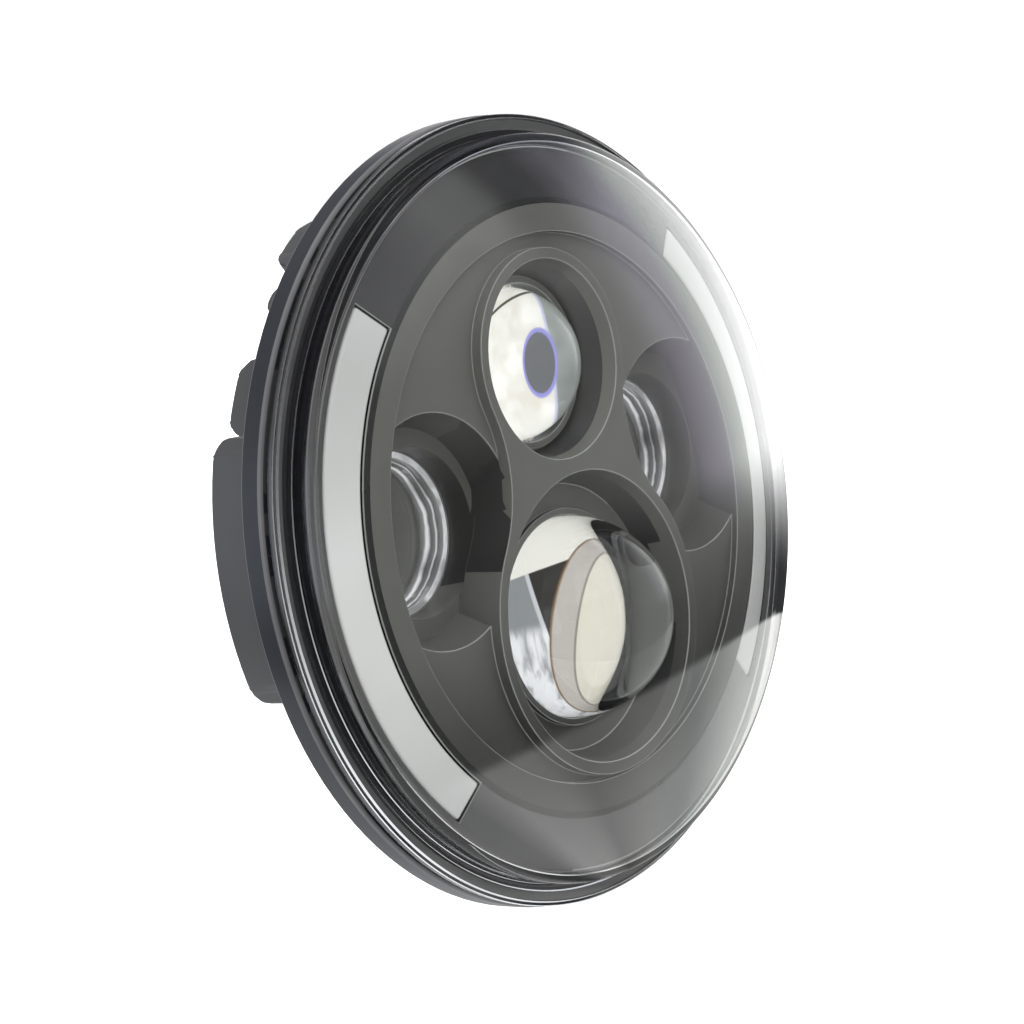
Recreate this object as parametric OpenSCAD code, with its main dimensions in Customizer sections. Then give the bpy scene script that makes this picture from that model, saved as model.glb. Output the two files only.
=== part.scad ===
// Round seven inch LED headlight with two projector lenses, two side lenses and
// two curved light strips behind a domed clear front lens.
// Millimetres. The origin is the centre of the rim's rear face. The lamp shines
// along -Y, +Z is up and +X is on the right of someone who looks at its front.
// Each module is drawn with the lamp's axis along Z and is turned by place().

/* [Rim] */
// Outside diameter of the mounting rim
rim_d = 178; // [174:1:184]
// Thickness of the cast rim
rim_t = 5.5; // [4.5:0.5:7]
// Bevel of the rim's front edge
rim_bevel = 0.5; // [0.3:0.1:1]
// Thickness of the seal between the rim and the front lens
seal_t = 1.5; // [1:0.25:2.5]
// How far the seal lies inside the rim's edge
seal_inset = 2.4; // [1.5:0.1:3.5]

/* [Front lens] */
// How far the lens flange lies inside the rim's edge
flange_inset = 0.4; // [0.2:0.1:1]
// Width of the lens flange outside the lens wall
flange_w = 5; // [4:0.25:6]
// Thickness of the lens flange
flange_t = 2.2; // [1.6:0.2:3]
// Height of the lens wall, from the seal to the shoulder
lens_wall_h = 8.2; // [7:0.2:9]
// Radius of the rounded shoulder between the wall and the dome
shoulder_r = 2.5; // [2:0.25:3.5]
// Height of the dome over the wall
lens_rise = 22; // [19:0.5:25]
// Thickness of the front lens
lens_t = 2.6; // [2:0.2:3]

/* [Bezel] */
// Wall of the bezel
bezel_t = 2.4; // [1.8:0.1:2.8]
// Gap between the bezel and the inside of the front lens
bezel_gap = 0.4; // [0.3:0.1:1]
// Width of the bezel's outer edge, outside the light strips
edge_w = 2.6; // [2.4:0.1:3.5]
// Width of the light strips
strip_w = 9.3; // [8:0.1:11]
// Width of the bevel inside the light strips
bevel_w = 1.5; // [1:0.1:2]
// Width of the flat land inside the bevel
land_w = 6.2; // [5:0.1:7]
// Height of the strips' outer edge over the rim's front face
strip_outer_h = 6.3; // [5.6:0.1:7]
// Height of the strips' inner edge over the rim's front face
strip_inner_h = 8.5; // [7.8:0.1:9]
// Height of the land over the rim's front face
land_h = 9.1; // [9:0.1:10]
// Height of the sunk face over the rim's front face
face_h = 7.5; // [6.5:0.1:8]
// Height of the raised centre column over the rim's front face
column_h = 10.2; // [9:0.1:11]
// Radius of the column's hollow flanks
column_blend_r = 31.7; // [26:0.5:36]
// Half of the angle that each light strip covers
strip_half_angle = 45; // [40:1:48]

/* [Bowls] */
// Height of the high beam's axis over the lamp's axis
high_y = 33.2; // [32:0.2:34]
// Radius of the high beam's bowl at its mouth
high_bowl_r = 22.1; // [21:0.1:23]
// Width of the column around the high beam's bowl
high_lip = 2.5; // [2.2:0.1:3]
// Depth of the low beam's axis under the lamp's axis
low_y = 25; // [24:0.2:26]
// Radius of the low beam's bowl at its mouth
low_bowl_r = 32.5; // [31:0.1:33]
// Width of the column around the low beam's bowl
low_lip = 2.8; // [2.6:0.1:3.2]
// Distance of each side bowl's axis from the lamp's vertical plane
side_x = 44.4; // [43:0.2:45.6]
// Height of the side bowls' axes over the lamp's axis
side_y = 4.8; // [4:0.2:6]
// Radius of the side bowls at their mouths
side_bowl_r = 25; // [24:0.1:26]
// How much a bowl narrows from its mouth to its floor
bowl_draft = 2.4; // [1.5:0.1:3.5]
// Height of the bowls' floors over the rim's front face
bowl_floor_h = 0.5; // [0:0.1:1.5]
// Thickness of the bowls' floors
bowl_floor_t = 2; // [1.6:0.1:3]
// How far the floor of a side bowl lies under the other floors
side_floor_drop = 2; // [1:0.1:3]

/* [Projector lenses] */
// Radius of the high beam lens's ball face
high_ball_r = 17.5; // [17:0.1:18]
// Height of the high beam lens over its seat
high_lens_h = 16.9; // [15:0.1:18]
// Radius of the low beam lens's ball face
low_ball_r = 22.7; // [22:0.1:23.4]
// Height of the low beam lens over its seat
low_lens_h = 28; // [26:0.1:29]
// Width of a projector lens's flange outside its ball face
lens_foot_w = 1.2; // [1:0.1:1.6]
// Thickness of a projector lens's flange
lens_foot_t = 2.5; // [2:0.1:3]
// Wall of the lens holders
holder_wall = 2.2; // [1.8:0.1:2.4]
// Width of the ledge that a lens stands on
ledge_w = 1.7; // [1.2:0.1:2.2]
// Thickness of the ledge that a lens stands on
ledge_t = 2.5; // [2:0.1:3]
// Wall of the reflectors
reflector_t = 1.2; // [0.8:0.1:1.6]
// Radius of the opening at a reflector's root
reflector_root_r = 5; // [4.5:0.1:7]
// Thickness of the low beam's cut-off shield
shield_t = 1; // [0.6:0.1:1]

/* [Side lenses] */
// Distance of each side lens's axis from the lamp's vertical plane
side_lens_x = 42; // [41:0.2:42.6]
// Height of the side lenses' axes over the lamp's axis
side_lens_y = 4.4; // [3.8:0.2:5]
// Radius of the side lenses
side_lens_r = 18.1; // [17:0.1:18.3]
// Depth from a side bowl's floor to the side lens's rim
side_sink = 7; // [6:0.2:8]
// Depth of the side lens's front hollow
side_dish_h = 6.5; // [5:0.1:8]
// Thickness of the side lens's rim
side_rim_w = 1.4; // [1:0.1:2]
// Radius of the side lens at the light emitter
side_root_r = 8; // [7:0.1:9]
// Wall of the side lens holders
side_holder_wall = 1.6; // [1.2:0.1:2]

/* [Housing] */
// Wall of the casting
wall = 3; // [2.5:0.1:3.4]
// Thickness of the casting's floor behind the light boards
floor_t = 4.5; // [4:0.1:6]
// Depth of the shelf for the strip boards under the rim's rear face
shelf_depth = 1; // [0.5:0.1:2]
// Depth of the bay behind the rim's rear face
bay_depth = 24; // [23:0.5:28]
// How much the bay narrows towards its floor
bay_draft = 7; // [6:0.1:7.6]
// Distance from the light strips' inner edge to the bay's mouth
bay_inset = 2; // [1.6:0.1:3]
// Number of cooling fins
fin_count = 44; // [32:4:44]
// Thickness of a cooling fin
fin_t = 2.8; // [2:0.1:3]
// Height of the fins behind the casting's floor
fin_h = 12; // [10:0.5:13]
// Distance of the fins' roots from the lamp's axis
fin_root_r = 35.5; // [35:0.5:37]
// Distance of the fins' rear corners from the lamp's axis
fin_rear_r = 46; // [44:0.5:50]
// Depth of the large pads at the sides behind the rim
pad_depth = 16; // [14:0.5:18]
// How far the pads lie inside the rim's edge
pad_inset = 7; // [6:0.2:7.8]

/* [Driver and rear cover] */
// Inside radius of the driver pocket
pocket_r = 25; // [24:0.5:26]
// Wall of the driver pocket
pocket_wall = 4; // [3:0.5:4.5]
// Depth of the driver pocket behind the casting's floor
pocket_depth = 14; // [13:0.5:17]
// Thickness of the rear cover
cover_t = 3; // [2.5:0.5:5]
// Thickness of the rear cover's gasket
gasket_t = 1; // [0.5:0.25:2]
// How far the cover's screws lie outside the pocket's inside
cover_screw_out = 5; // [4.5:0.25:6]
// Radius of the ears around the cover's screws
cover_ear_r = 4; // [3.6:0.1:4.4]
// Thickness of the circuit boards
board_t = 1.6; // [1:0.2:2]
// Height of the driver board's posts
post_h = 5; // [4:0.5:6]
// How far the driver board's posts lie inside the pocket
post_inset = 5.5; // [4.5:0.5:7]

/* [Cable gland] */
// Radius of the gland's thread through the cover
gland_r = 6; // [5.5:0.25:7]
// Radius of the cable that the gland is made for
cable_r = 3.5; // [2.5:0.25:4]
// Width across flats of the gland
gland_flats = 16; // [15:0.5:18]
// Height of the gland's hexagon
gland_hex_h = 4; // [3:0.5:6]
// Height of the gland's cap nut
gland_nut_h = 10; // [9:0.5:13]

/* [Screws] */
// Shank radius of the small screws
screw_r = 1.4; // [1.2:0.1:1.5]
// Head radius of the small screws
screw_head_r = 2.7; // [2.5:0.1:2.9]
// Head height of the small screws
screw_head_h = 1.8; // [1.4:0.1:2]
// How deep the screws of the boards and holders reach into the casting
screw_bite = 3; // [2:0.25:3.4]
// How deep the bezel's and the cover's screws bite
long_bite = 8; // [6:0.5:8.5]

/* [Clearances] */
// Gap around a piece that drops into another
fit = 0.2; // [0.15:0.05:0.3]
// Gap between a screw's shank and its hole
screw_fit = 0.05; // [0.05:0.05:0.1]

/* [Hidden] */
$fn = 96;

LEFT = -1;
RIGHT = 1;
// Length that a cutting shape runs past the face it opens
past = 1;

// Radii of the front, from the rim inwards
rim_r = rim_d / 2;
flange_r = rim_r - flange_inset;
lens_r = flange_r - flange_w;
bezel_r = lens_r - lens_t - bezel_gap;
seal_outer_r = rim_r - seal_inset;
seal_inner_r = bezel_r + 2 * fit;
strip_outer_r = bezel_r - edge_w;
strip_inner_r = strip_outer_r - strip_w;
land_outer_r = strip_inner_r - bevel_w;
land_inner_r = land_outer_r - land_w;
strip_mid_r = (strip_outer_r + strip_inner_r) / 2;

// The bowls and lenses suit a sunk face of this radius, and they grow with it
standard_face_r = 61;
k = land_inner_r / standard_face_r;
high_at_y = k * high_y;
high_mouth_r = k * high_bowl_r;
high_edge_w = k * high_lip;
low_at_y = k * low_y;
low_mouth_r = k * low_bowl_r;
low_edge_w = k * low_lip;
side_at_x = k * side_x;
side_at_y = k * side_y;
side_mouth_r = k * side_bowl_r;
flank_r = k * column_blend_r;
high_eye_r = k * high_ball_r;
high_eye_h = k * high_lens_h;
low_eye_r = k * low_ball_r;
low_eye_h = k * low_lens_h;
side_eye_x = k * side_lens_x;
side_eye_y = k * side_lens_y;
side_eye_r = k * side_lens_r;

// Heights of the front, along the lamp's axis
lens_z = rim_t + seal_t;
shoulder_z = lens_z + lens_wall_h;
apex_z = shoulder_z + lens_rise;
strip_outer_z = rim_t + strip_outer_h;
strip_inner_z = rim_t + strip_inner_h;
strip_mid_z = (strip_outer_z + strip_inner_z) / 2;
land_z = rim_t + land_h;
face_z = rim_t + face_h;
column_z = rim_t + column_h;
bowl_floor_z = rim_t + bowl_floor_h;
seat_z = bowl_floor_z - bowl_floor_t;
side_floor_z = bowl_floor_z - side_floor_drop;
side_rim_z = side_floor_z - side_sink;

// Levels of the casting, behind the rim
shelf_z = -shelf_depth;
bay_floor_z = -bay_depth;
back_z = bay_floor_z - floor_t;
pocket_end_z = back_z - pocket_depth;
cover_in_z = pocket_end_z - gasket_t;
cover_out_z = cover_in_z - cover_t;
cavity_r = bezel_r - bezel_t - fit;
skirt_r = cavity_r + wall;
bay_r = strip_inner_r - bay_inset;
bay_floor_r = bay_r - bay_draft;

// The dome's ball, which meets the shoulder's small circle
inner_shoulder_r = 1;
dome_r = (lens_r * lens_r + lens_rise * lens_rise) / (2 * lens_rise);
dome_z = apex_z - dome_r;
dome_steps = 28;
arc_steps = 6;

// Angles of the screws that hold the bezel from behind, between the strips
bezel_screw_angles = [72, 108, 252, 288];
bezel_post_r = screw_head_r + 0.7;
bezel_screw_h = wall + long_bite;

// Rows of angle, width, depth and radius for the cast pads on the left half
side_pad_step = 2.5;
pad_r = rim_r - pad_inset;
pads = [
    [176, 56, pad_depth, pad_r],
    [176, 50, side_pad_step, pad_r + 2.6],
    [150, 17, pad_depth - 4, pad_r],
    [136, 7, 5.5, pad_r + 3.4],
    [124, 14.5, pad_depth - 4.5, pad_r + 2]
];
pad_round = 4.5;

// Strip boards and their light emitters
strip_board_w = strip_w - 1;
strip_board_angle = strip_half_angle + 8;
strip_screw_angle = strip_half_angle + 4.5;
strip_led_count = 12;
strip_led_size = 3;
strip_led_t = 0.8;
strip_board_top_z = shelf_z + board_t;
guide_bottom_z = strip_board_top_z + strip_led_t + fit;
guide_foot_w = 1.2;

// Boards, emitters and root rings of the beams
board_top_z = bay_floor_z + board_t;
led_size = 5;
led_t = 0.9;

// Screw ears of the holders, as angles around each beam's axis
low_ear_angles = [35, 145, 270];
high_ear_angles = [0, 180];
side_ear_angles = [90, 270];
ear_t = 3;
ear_r = screw_head_r + 0.8;

// Holders of the two projector lenses
high_foot_r = high_eye_r + lens_foot_w;
low_foot_r = low_eye_r + lens_foot_w;
high_tube_r = high_foot_r + fit;
low_tube_r = low_foot_r + fit;
lens_seat_z = seat_z - lens_foot_t;
ledge_low_z = lens_seat_z - ledge_t;
reflector_flange_t = 1.6;

// Side lens, its cone and its holder
side_lens_bottom_z = board_top_z + led_t + 0.6;
side_cone_z = side_rim_z - side_dish_h - side_rim_w;
side_root_pocket_h = 3;
side_root_pocket_r = 3.6;
side_foot_r = side_root_r + fit + side_holder_wall;
side_board_r = side_root_r;
side_ear_reach = side_eye_r + side_holder_wall + screw_head_r + 2 * fit;

// Pocket for the driver, the cover's screws and the wire hole
cover_screw_angles = [45, 135, 225, 315];
cover_screw_r = pocket_r + cover_screw_out;
post_ring_r = pocket_r - post_inset;
driver_post_angles = [30, 150, 270];
driver_board_r = pocket_r - 1;
driver_board_z = back_z - post_h;
driver_rear_z = driver_board_z - board_t;
wire_hole_y = (high_at_y - high_tube_r - low_at_y + low_tube_r) / 2;
wire_hole_r = 3;
vent_y = pocket_r - 8;
vent_r = 4;

// Turns a lamp drawn along Z so that it faces -Y
module place() {
    rotate([90, 0, 0]) children();
}

// Points of an arc about (cx, cy), from angle a0 to angle a1
function arc(cx, cy, r, a0, a1, n = arc_steps) =
    [for (i = [0:n]) let (a = a0 + (a1 - a0) * i / n) [cx + r * cos(a), cy + r * sin(a)]];

// Ring of rectangular section between two levels
module ring(r_in, r_out, z_low, z_high) {
    translate([0, 0, z_low])
        difference() {
            cylinder(r = r_out, h = z_high - z_low);
            translate([0, 0, -past]) cylinder(r = r_in, h = z_high - z_low + 2 * past);
        }
}

// Copies of the children on a ring, one at each angle
module around(angles, r) {
    for (a = angles) rotate([0, 0, a]) translate([r, 0, 0]) children();
}

// Pan head screw whose head stands on z = 0 and whose shank runs down
module screw(bite) {
    slot_w = 0.7;
    slot_l = screw_head_r * 1.2;
    slot_h = screw_head_h / 2;
    difference() {
        cylinder(r = screw_head_r, h = screw_head_h);
        for (turn = [0, 90])
            rotate([0, 0, turn])
                translate([-slot_l / 2, -slot_w / 2, slot_h])
                    cube([slot_l, slot_w, slot_h + past]);
    }
    translate([0, 0, -bite]) cylinder(r = screw_r, h = bite);
}

// Round hole for a screw's shank, from z = 0 down
module screw_hole(depth) {
    translate([0, 0, -depth]) cylinder(r = screw_r + screw_fit, h = depth + past);
}

module housing() {
    color("dimgray") place() difference() {
        union() {
            casting_shell();
            for (i = [0:fin_count - 1]) rotate([0, 0, (i + 0.5) * 360 / fin_count]) fin();
            casting_pads();
            driver_pocket();
        }
        translate([0, 0, shelf_z]) cylinder(r = cavity_r, h = rim_t - shelf_z + past);
        translate([0, wire_hole_y, back_z - past])
            cylinder(r = wire_hole_r, h = floor_t + 2 * past);
        around(bezel_screw_angles, strip_mid_r)
            translate([0, 0, shelf_z]) screw_hole(wall + past);
        for (side = [LEFT, RIGHT]) translate([0, 0, shelf_z]) strip_screw_places(side)
            screw_hole(wall - 1);
        translate([0, 0, bay_floor_z]) holder_screw_places() screw_hole(screw_bite + fit);
        around(cover_screw_angles, cover_screw_r)
            translate([0, 0, pocket_end_z]) mirror([0, 0, 1]) screw_hole(long_bite + fit);
        around(driver_post_angles, post_ring_r)
            translate([0, 0, driver_board_z]) mirror([0, 0, 1]) screw_hole(post_h);
    }
}

// Bowl of the casting with its rim, shelf and floor, as one turned profile
module casting_shell() {
    rotate_extrude() polygon([
        [0, bay_floor_z], [bay_floor_r, bay_floor_z], [bay_r, shelf_z],
        [cavity_r, shelf_z], [cavity_r, rim_t], [rim_r - rim_bevel, rim_t],
        [rim_r, rim_t - rim_bevel], [rim_r, 0], [skirt_r, 0],
        [skirt_r, shelf_z - wall], [bay_r + wall, shelf_z - wall],
        [bay_floor_r + wall, back_z], [0, back_z]
    ]);
}

// One cooling fin, which stands on the bay's wall and floor
module fin() {
    fin_end_z = back_z - fin_h;
    rotate([90, 0, 0]) linear_extrude(fin_t, center = true) polygon([
        [bay_r + wall / 2, shelf_z - wall / 2], [skirt_r, shelf_z - wall / 2],
        [skirt_r, shelf_z - wall], [fin_rear_r, fin_end_z],
        [fin_root_r + 4, fin_end_z], [fin_root_r, fin_end_z + 4],
        [fin_root_r, bay_floor_z - floor_t / 2],
        [bay_floor_r + wall / 2, bay_floor_z - floor_t / 2]
    ]);
}

// Rounded pads behind the rim, the same on both sides
module casting_pads() {
    for (flip = [0, 1]) mirror([flip, 0, 0]) for (pad = pads) intersection() {
        ring(bay_r + wall / 2, pad[3], -pad[2] - past, 0);
        rotate([0, 0, pad[0]]) translate([bay_r - wall, 0, 0]) rotate([0, 90, 0])
            linear_extrude(rim_r) pad_face(pad[1], pad[2]);
    }
}

// Face of a pad, with its free corners rounded
module pad_face(w, h) {
    q = min(pad_round, w / 2 - 0.5, h - 0.5);
    polygon(concat(
        [[0, -w / 2]],
        arc(h - q, -w / 2 + q, q, -90, 0),
        arc(h - q, w / 2 - q, q, 0, 90),
        [[0, w / 2]]
    ));
}

// Ring that closes the driver in, with ears for the cover's screws
module driver_pocket() {
    ring(pocket_r, pocket_r + pocket_wall, pocket_end_z, back_z + past);
    around(cover_screw_angles, cover_screw_r) translate([0, 0, pocket_end_z])
        cylinder(r = cover_ear_r, h = back_z + past - pocket_end_z);
    around(driver_post_angles, post_ring_r) translate([0, 0, driver_board_z])
        cylinder(r = screw_head_r, h = back_z + past - driver_board_z);
}

module lens_seal() {
    color("#101114") place() ring(seal_inner_r, seal_outer_r, rim_t, lens_z);
}

// Outline of the front lens, grown inwards by its thickness
function lens_face(r_wall, r_ball, q) =
    let (centre_r = r_wall - q)
    let (centre_z = dome_z + sqrt(pow(r_ball - q, 2) - pow(centre_r, 2)))
    let (meet = atan2(centre_z - dome_z, centre_r))
    concat(
        arc(centre_r, centre_z, q, 0, meet),
        [for (i = [1:dome_steps]) let (a = meet + (90 - meet) * i / dome_steps)
            [r_ball * cos(a), dome_z + r_ball * sin(a)]]
    );

module front_lens() {
    wall_in_r = lens_r - lens_t;
    outer = lens_face(lens_r, dome_r, shoulder_r);
    inner = lens_face(wall_in_r, dome_r - lens_t, inner_shoulder_r);
    color("lightsteelblue", 0.35) place() rotate_extrude() polygon(concat(
        [[wall_in_r, lens_z], [flange_r, lens_z], [flange_r, lens_z + flange_t - 0.4],
            [flange_r - 0.4, lens_z + flange_t], [lens_r, lens_z + flange_t]],
        outer,
        [for (i = [len(inner) - 1:-1:0]) inner[i]]
    ));
}

module bezel() {
    color("#5b5a55") place() difference() {
        union() {
            bezel_ring();
            bezel_face();
            column(side_floor_z - bowl_floor_t, column_z);
            bowl_shells();
            around(bezel_screw_angles, strip_mid_r) translate([0, 0, shelf_z])
                cylinder(r = bezel_post_r, h = strip_mid_z - bezel_t / 2 - shelf_z);
        }
        bowl_hollows();
        for (side = [LEFT, RIGHT]) strip_slot(side);
        around(bezel_screw_angles, strip_mid_r)
            translate([0, 0, shelf_z + long_bite + fit]) screw_hole(long_bite + fit + past);
    }
}

// Outer ring of the bezel: its skirt, the band of the strips, the bevel and the land
module bezel_ring() {
    rotate_extrude() polygon([
        [bezel_r - bezel_t, rim_t], [bezel_r, rim_t], [bezel_r, strip_outer_z - 0.6],
        [bezel_r - 0.6, strip_outer_z], [strip_outer_r, strip_outer_z],
        [strip_inner_r, strip_inner_z], [land_outer_r, land_z], [land_inner_r, land_z],
        [land_inner_r, face_z - bezel_t], [land_outer_r, face_z - bezel_t],
        [strip_inner_r, strip_inner_z - bezel_t],
        [strip_outer_r, strip_outer_z - bezel_t], [bezel_r - bezel_t, strip_outer_z - bezel_t]
    ]);
}

// Sunk face inside the land
module bezel_face() {
    translate([0, 0, face_z - bezel_t]) cylinder(r = land_inner_r + past, h = bezel_t);
}

// Outline of the raised column: two circles with hollow flanks between them. The
// flanks bite a hair into the circles, so that they cross them instead of touching.
module column_outline(inset = 0) {
    bite = 0.01;
    high_r = high_mouth_r + high_edge_w - inset;
    low_r = low_mouth_r + low_edge_w - inset;
    blend_r = flank_r + inset;
    span = high_at_y + low_at_y;
    to_high = high_r + blend_r;
    to_low = low_r + blend_r;
    foot = (to_low * to_low - to_high * to_high + span * span) / (2 * span);
    flank_x = sqrt(to_low * to_low - foot * foot);
    flank_y = foot - low_at_y;
    translate([0, high_at_y]) circle(r = high_r);
    translate([0, -low_at_y]) circle(r = low_r);
    difference() {
        polygon([[0, high_at_y], [flank_x, flank_y], [0, -low_at_y], [-flank_x, flank_y]]);
        for (s = [LEFT, RIGHT]) translate([s * flank_x, flank_y]) circle(r = blend_r + bite);
    }
}

module column(z_low, z_high) {
    translate([0, 0, z_low]) linear_extrude(z_high - z_low) intersection() {
        column_outline();
        circle(r = land_inner_r + past);
    }
}

// Walls and floors of the two side bowls and of the tubes to their lenses
module bowl_shells() {
    for (s = [LEFT, RIGHT]) {
        intersection() {
            translate([s * side_at_x, side_at_y, side_floor_z - bowl_floor_t])
                cylinder(r1 = side_mouth_r - bowl_draft + bezel_t, r2 = side_mouth_r + bezel_t,
                    h = face_z - side_floor_z);
            cylinder(r = land_inner_r + bezel_t, h = face_z);
        }
        translate([s * side_eye_x, side_eye_y, side_rim_z])
            cylinder(r = side_eye_r + fit + side_holder_wall,
                h = side_floor_z - side_rim_z);
    }
}

// Everything that is hollow in the bezel
module bowl_hollows() {
    beam_bowl(high_at_y, high_mouth_r, high_eye_r + fit);
    beam_bowl(-low_at_y, low_mouth_r, low_eye_r + fit);
    for (s = [LEFT, RIGHT]) {
        difference() {
            intersection() {
                translate([s * side_at_x, side_at_y, side_floor_z])
                    cylinder(r1 = side_mouth_r - bowl_draft,
                        r2 = side_mouth_r + bowl_draft * past / (face_z - side_floor_z),
                        h = face_z - side_floor_z + past);
                cylinder(r = land_inner_r, h = column_z);
            }
            column(side_rim_z, column_z + past);
        }
        translate([s * side_eye_x, side_eye_y, side_rim_z - past])
            cylinder(r = side_eye_r + fit, h = side_floor_z - side_rim_z + 2 * past);
    }
    column_underside();
}

// The column is a shell too: it is hollow under the bowls' floors and between them,
// and leaves room for the holders
module column_underside() {
    translate([0, 0, side_rim_z - past]) {
        linear_extrude(seat_z - side_rim_z + past) {
            intersection() {
                column_outline(bezel_t);
                circle(r = land_inner_r - bezel_t);
            }
            translate([0, high_at_y]) circle(r = high_tube_r + holder_wall + fit);
            translate([0, -low_at_y]) circle(r = low_tube_r + holder_wall + fit);
        }
        linear_extrude(column_z - bezel_t - side_rim_z + past) difference() {
            column_outline(bezel_t);
            translate([0, high_at_y]) circle(r = high_mouth_r + bezel_t);
            translate([0, -low_at_y]) circle(r = low_mouth_r + bezel_t);
        }
    }
}

// Bowl of a projector lens, with a stepped collar round the lens's opening
module beam_bowl(y, mouth_r, lens_hole_r) {
    collar_w = 1.6;
    collar_h = 1.2;
    depth = column_z - bowl_floor_z;
    translate([0, y, 0]) {
        difference() {
            translate([0, 0, bowl_floor_z])
                cylinder(r1 = mouth_r - bowl_draft, r2 = mouth_r + bowl_draft * past / depth,
                    h = depth + past);
            translate([0, 0, bowl_floor_z - past])
                cylinder(r = lens_hole_r + collar_w, h = collar_h + past);
        }
        translate([0, 0, seat_z - past])
            cylinder(r = lens_hole_r, h = column_z - seat_z + 2 * past);
    }
}

// Sector of the lamp on one side, within an angle of the horizontal
module side_sector(side, half_angle, z_low, z_high) {
    reach = rim_r * 2;
    translate([0, 0, z_low]) linear_extrude(z_high - z_low)
        polygon([[0, 0], [side * reach * cos(half_angle), reach * sin(half_angle)],
            [side * reach, 0], [side * reach * cos(half_angle), -reach * sin(half_angle)]]);
}

// Slot in the bezel for a light strip
module strip_slot(side) {
    intersection() {
        ring(strip_inner_r, strip_outer_r, guide_bottom_z, column_z);
        side_sector(side, strip_half_angle, guide_bottom_z - past, column_z + past);
    }
}

// Curved light guide with a foot that hooks under the bezel
module light_guide(side) {
    end_gap = asin(fit / strip_inner_r);
    color("ivory") place() intersection() {
        rotate_extrude() polygon([
            [strip_inner_r - guide_foot_w, guide_bottom_z],
            [strip_outer_r - fit, guide_bottom_z], [strip_outer_r - fit, strip_outer_z],
            [strip_inner_r + fit, strip_inner_z],
            [strip_inner_r + fit, face_z - bezel_t - fit],
            [strip_inner_r - guide_foot_w, face_z - bezel_t - fit]
        ]);
        side_sector(side, strip_half_angle - end_gap, guide_bottom_z - past, column_z);
    }
}

module light_guide_left() {
    light_guide(LEFT);
}

module light_guide_right() {
    light_guide(RIGHT);
}

// Places of a strip board's two screws
module strip_screw_places(side) {
    for (up = [-1, 1])
        rotate([0, 0, 90 - side * 90 + up * strip_screw_angle]) translate([strip_mid_r, 0, 0])
            children();
}

module drl_board(side) {
    color("darkgreen") place() difference() {
        intersection() {
            ring(strip_mid_r - strip_board_w / 2, strip_mid_r + strip_board_w / 2,
                shelf_z, strip_board_top_z);
            side_sector(side, strip_board_angle, shelf_z - past, strip_board_top_z + past);
        }
        strip_screw_places(side) translate([0, 0, strip_board_top_z])
            screw_hole(board_t + past);
    }
}

module drl_board_left() {
    drl_board(LEFT);
}

module drl_board_right() {
    drl_board(RIGHT);
}

module drl_leds() {
    step = 2 * (strip_half_angle - 5) / (strip_led_count - 1);
    color("khaki") place() for (side = [0, 180]) for (i = [0:strip_led_count - 1])
        rotate([0, 0, side + (i - (strip_led_count - 1) / 2) * step])
            translate([strip_mid_r - strip_led_size / 2, -strip_led_size / 2,
                strip_board_top_z])
                cube([strip_led_size, strip_led_size, strip_led_t]);
}

module drl_screws() {
    color("silver") place() for (side = [LEFT, RIGHT]) strip_screw_places(side)
        translate([0, 0, strip_board_top_z]) screw(board_t + wall - 1 - fit);
}

// Projector lens: a foot, then a ball face; its rear face is flat
module ball_lens(ball_r, h) {
    foot_r = ball_r + lens_foot_w;
    ball_z = h - ball_r;
    cylinder(r = foot_r, h = lens_foot_t);
    intersection() {
        translate([0, 0, ball_z]) sphere(r = ball_r);
        cylinder(r = foot_r, h = h + past);
    }
}

module low_lens() {
    color("aliceblue", 0.6) place() translate([0, -low_at_y, lens_seat_z])
        ball_lens(low_eye_r, low_eye_h);
}

module high_lens() {
    color("aliceblue", 0.6) place() translate([0, high_at_y, lens_seat_z])
        ball_lens(high_eye_r, high_eye_h);
}

// Side lens: a clear cone with a dished front and a hollow for the emitter
module side_lens(side) {
    dish_z = side_rim_z - side_dish_h;
    color("white", 0.6) place() translate([side * side_eye_x, side_eye_y, 0])
        rotate_extrude() polygon([
            [0, dish_z], [side_eye_r - side_rim_w - 1.2, dish_z],
            [side_eye_r - side_rim_w, side_rim_z], [side_eye_r, side_rim_z],
            [side_eye_r, side_cone_z], [side_root_r, side_lens_bottom_z],
            [side_root_pocket_r, side_lens_bottom_z],
            [side_root_pocket_r, side_lens_bottom_z + side_root_pocket_h],
            [0, side_lens_bottom_z + side_root_pocket_h]
        ]);
}

module side_lens_left() {
    side_lens(LEFT);
}

module side_lens_right() {
    side_lens(RIGHT);
}

// Places of the holders' ears and screws, at the bay's floor
module holder_screw_places() {
    low_ears() children();
    high_ears() children();
    for (side = [LEFT, RIGHT]) side_ears(side) children();
}

module low_ears() {
    translate([0, -low_at_y, 0]) around(low_ear_angles, low_tube_r + holder_wall + screw_head_r)
        children();
}

module high_ears() {
    translate([0, high_at_y, 0]) around(high_ear_angles, high_tube_r + holder_wall + screw_head_r)
        children();
}

module side_ears(side) {
    translate([side * side_eye_x, side_eye_y, 0]) around(side_ear_angles, side_ear_reach)
        children();
}

// Ear that stands on the bay's floor, with a tab that runs inwards
module ear(tab = 0) {
    translate([0, 0, bay_floor_z]) {
        cylinder(r = ear_r, h = ear_t);
        translate([-tab, -ear_r, 0]) cube([tab, 2 * ear_r, ear_t]);
    }
}

module ear_hole() {
    translate([0, 0, bay_floor_z + ear_t]) screw_hole(ear_t + past);
}

// Tube that carries a projector lens on an inner ledge
module tube_holder(y, tube_r) {
    translate([0, y, 0]) {
        ring(tube_r, tube_r + holder_wall, bay_floor_z, seat_z);
        ring(tube_r - ledge_w, tube_r + holder_wall / 2, ledge_low_z, lens_seat_z);
    }
}

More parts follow.
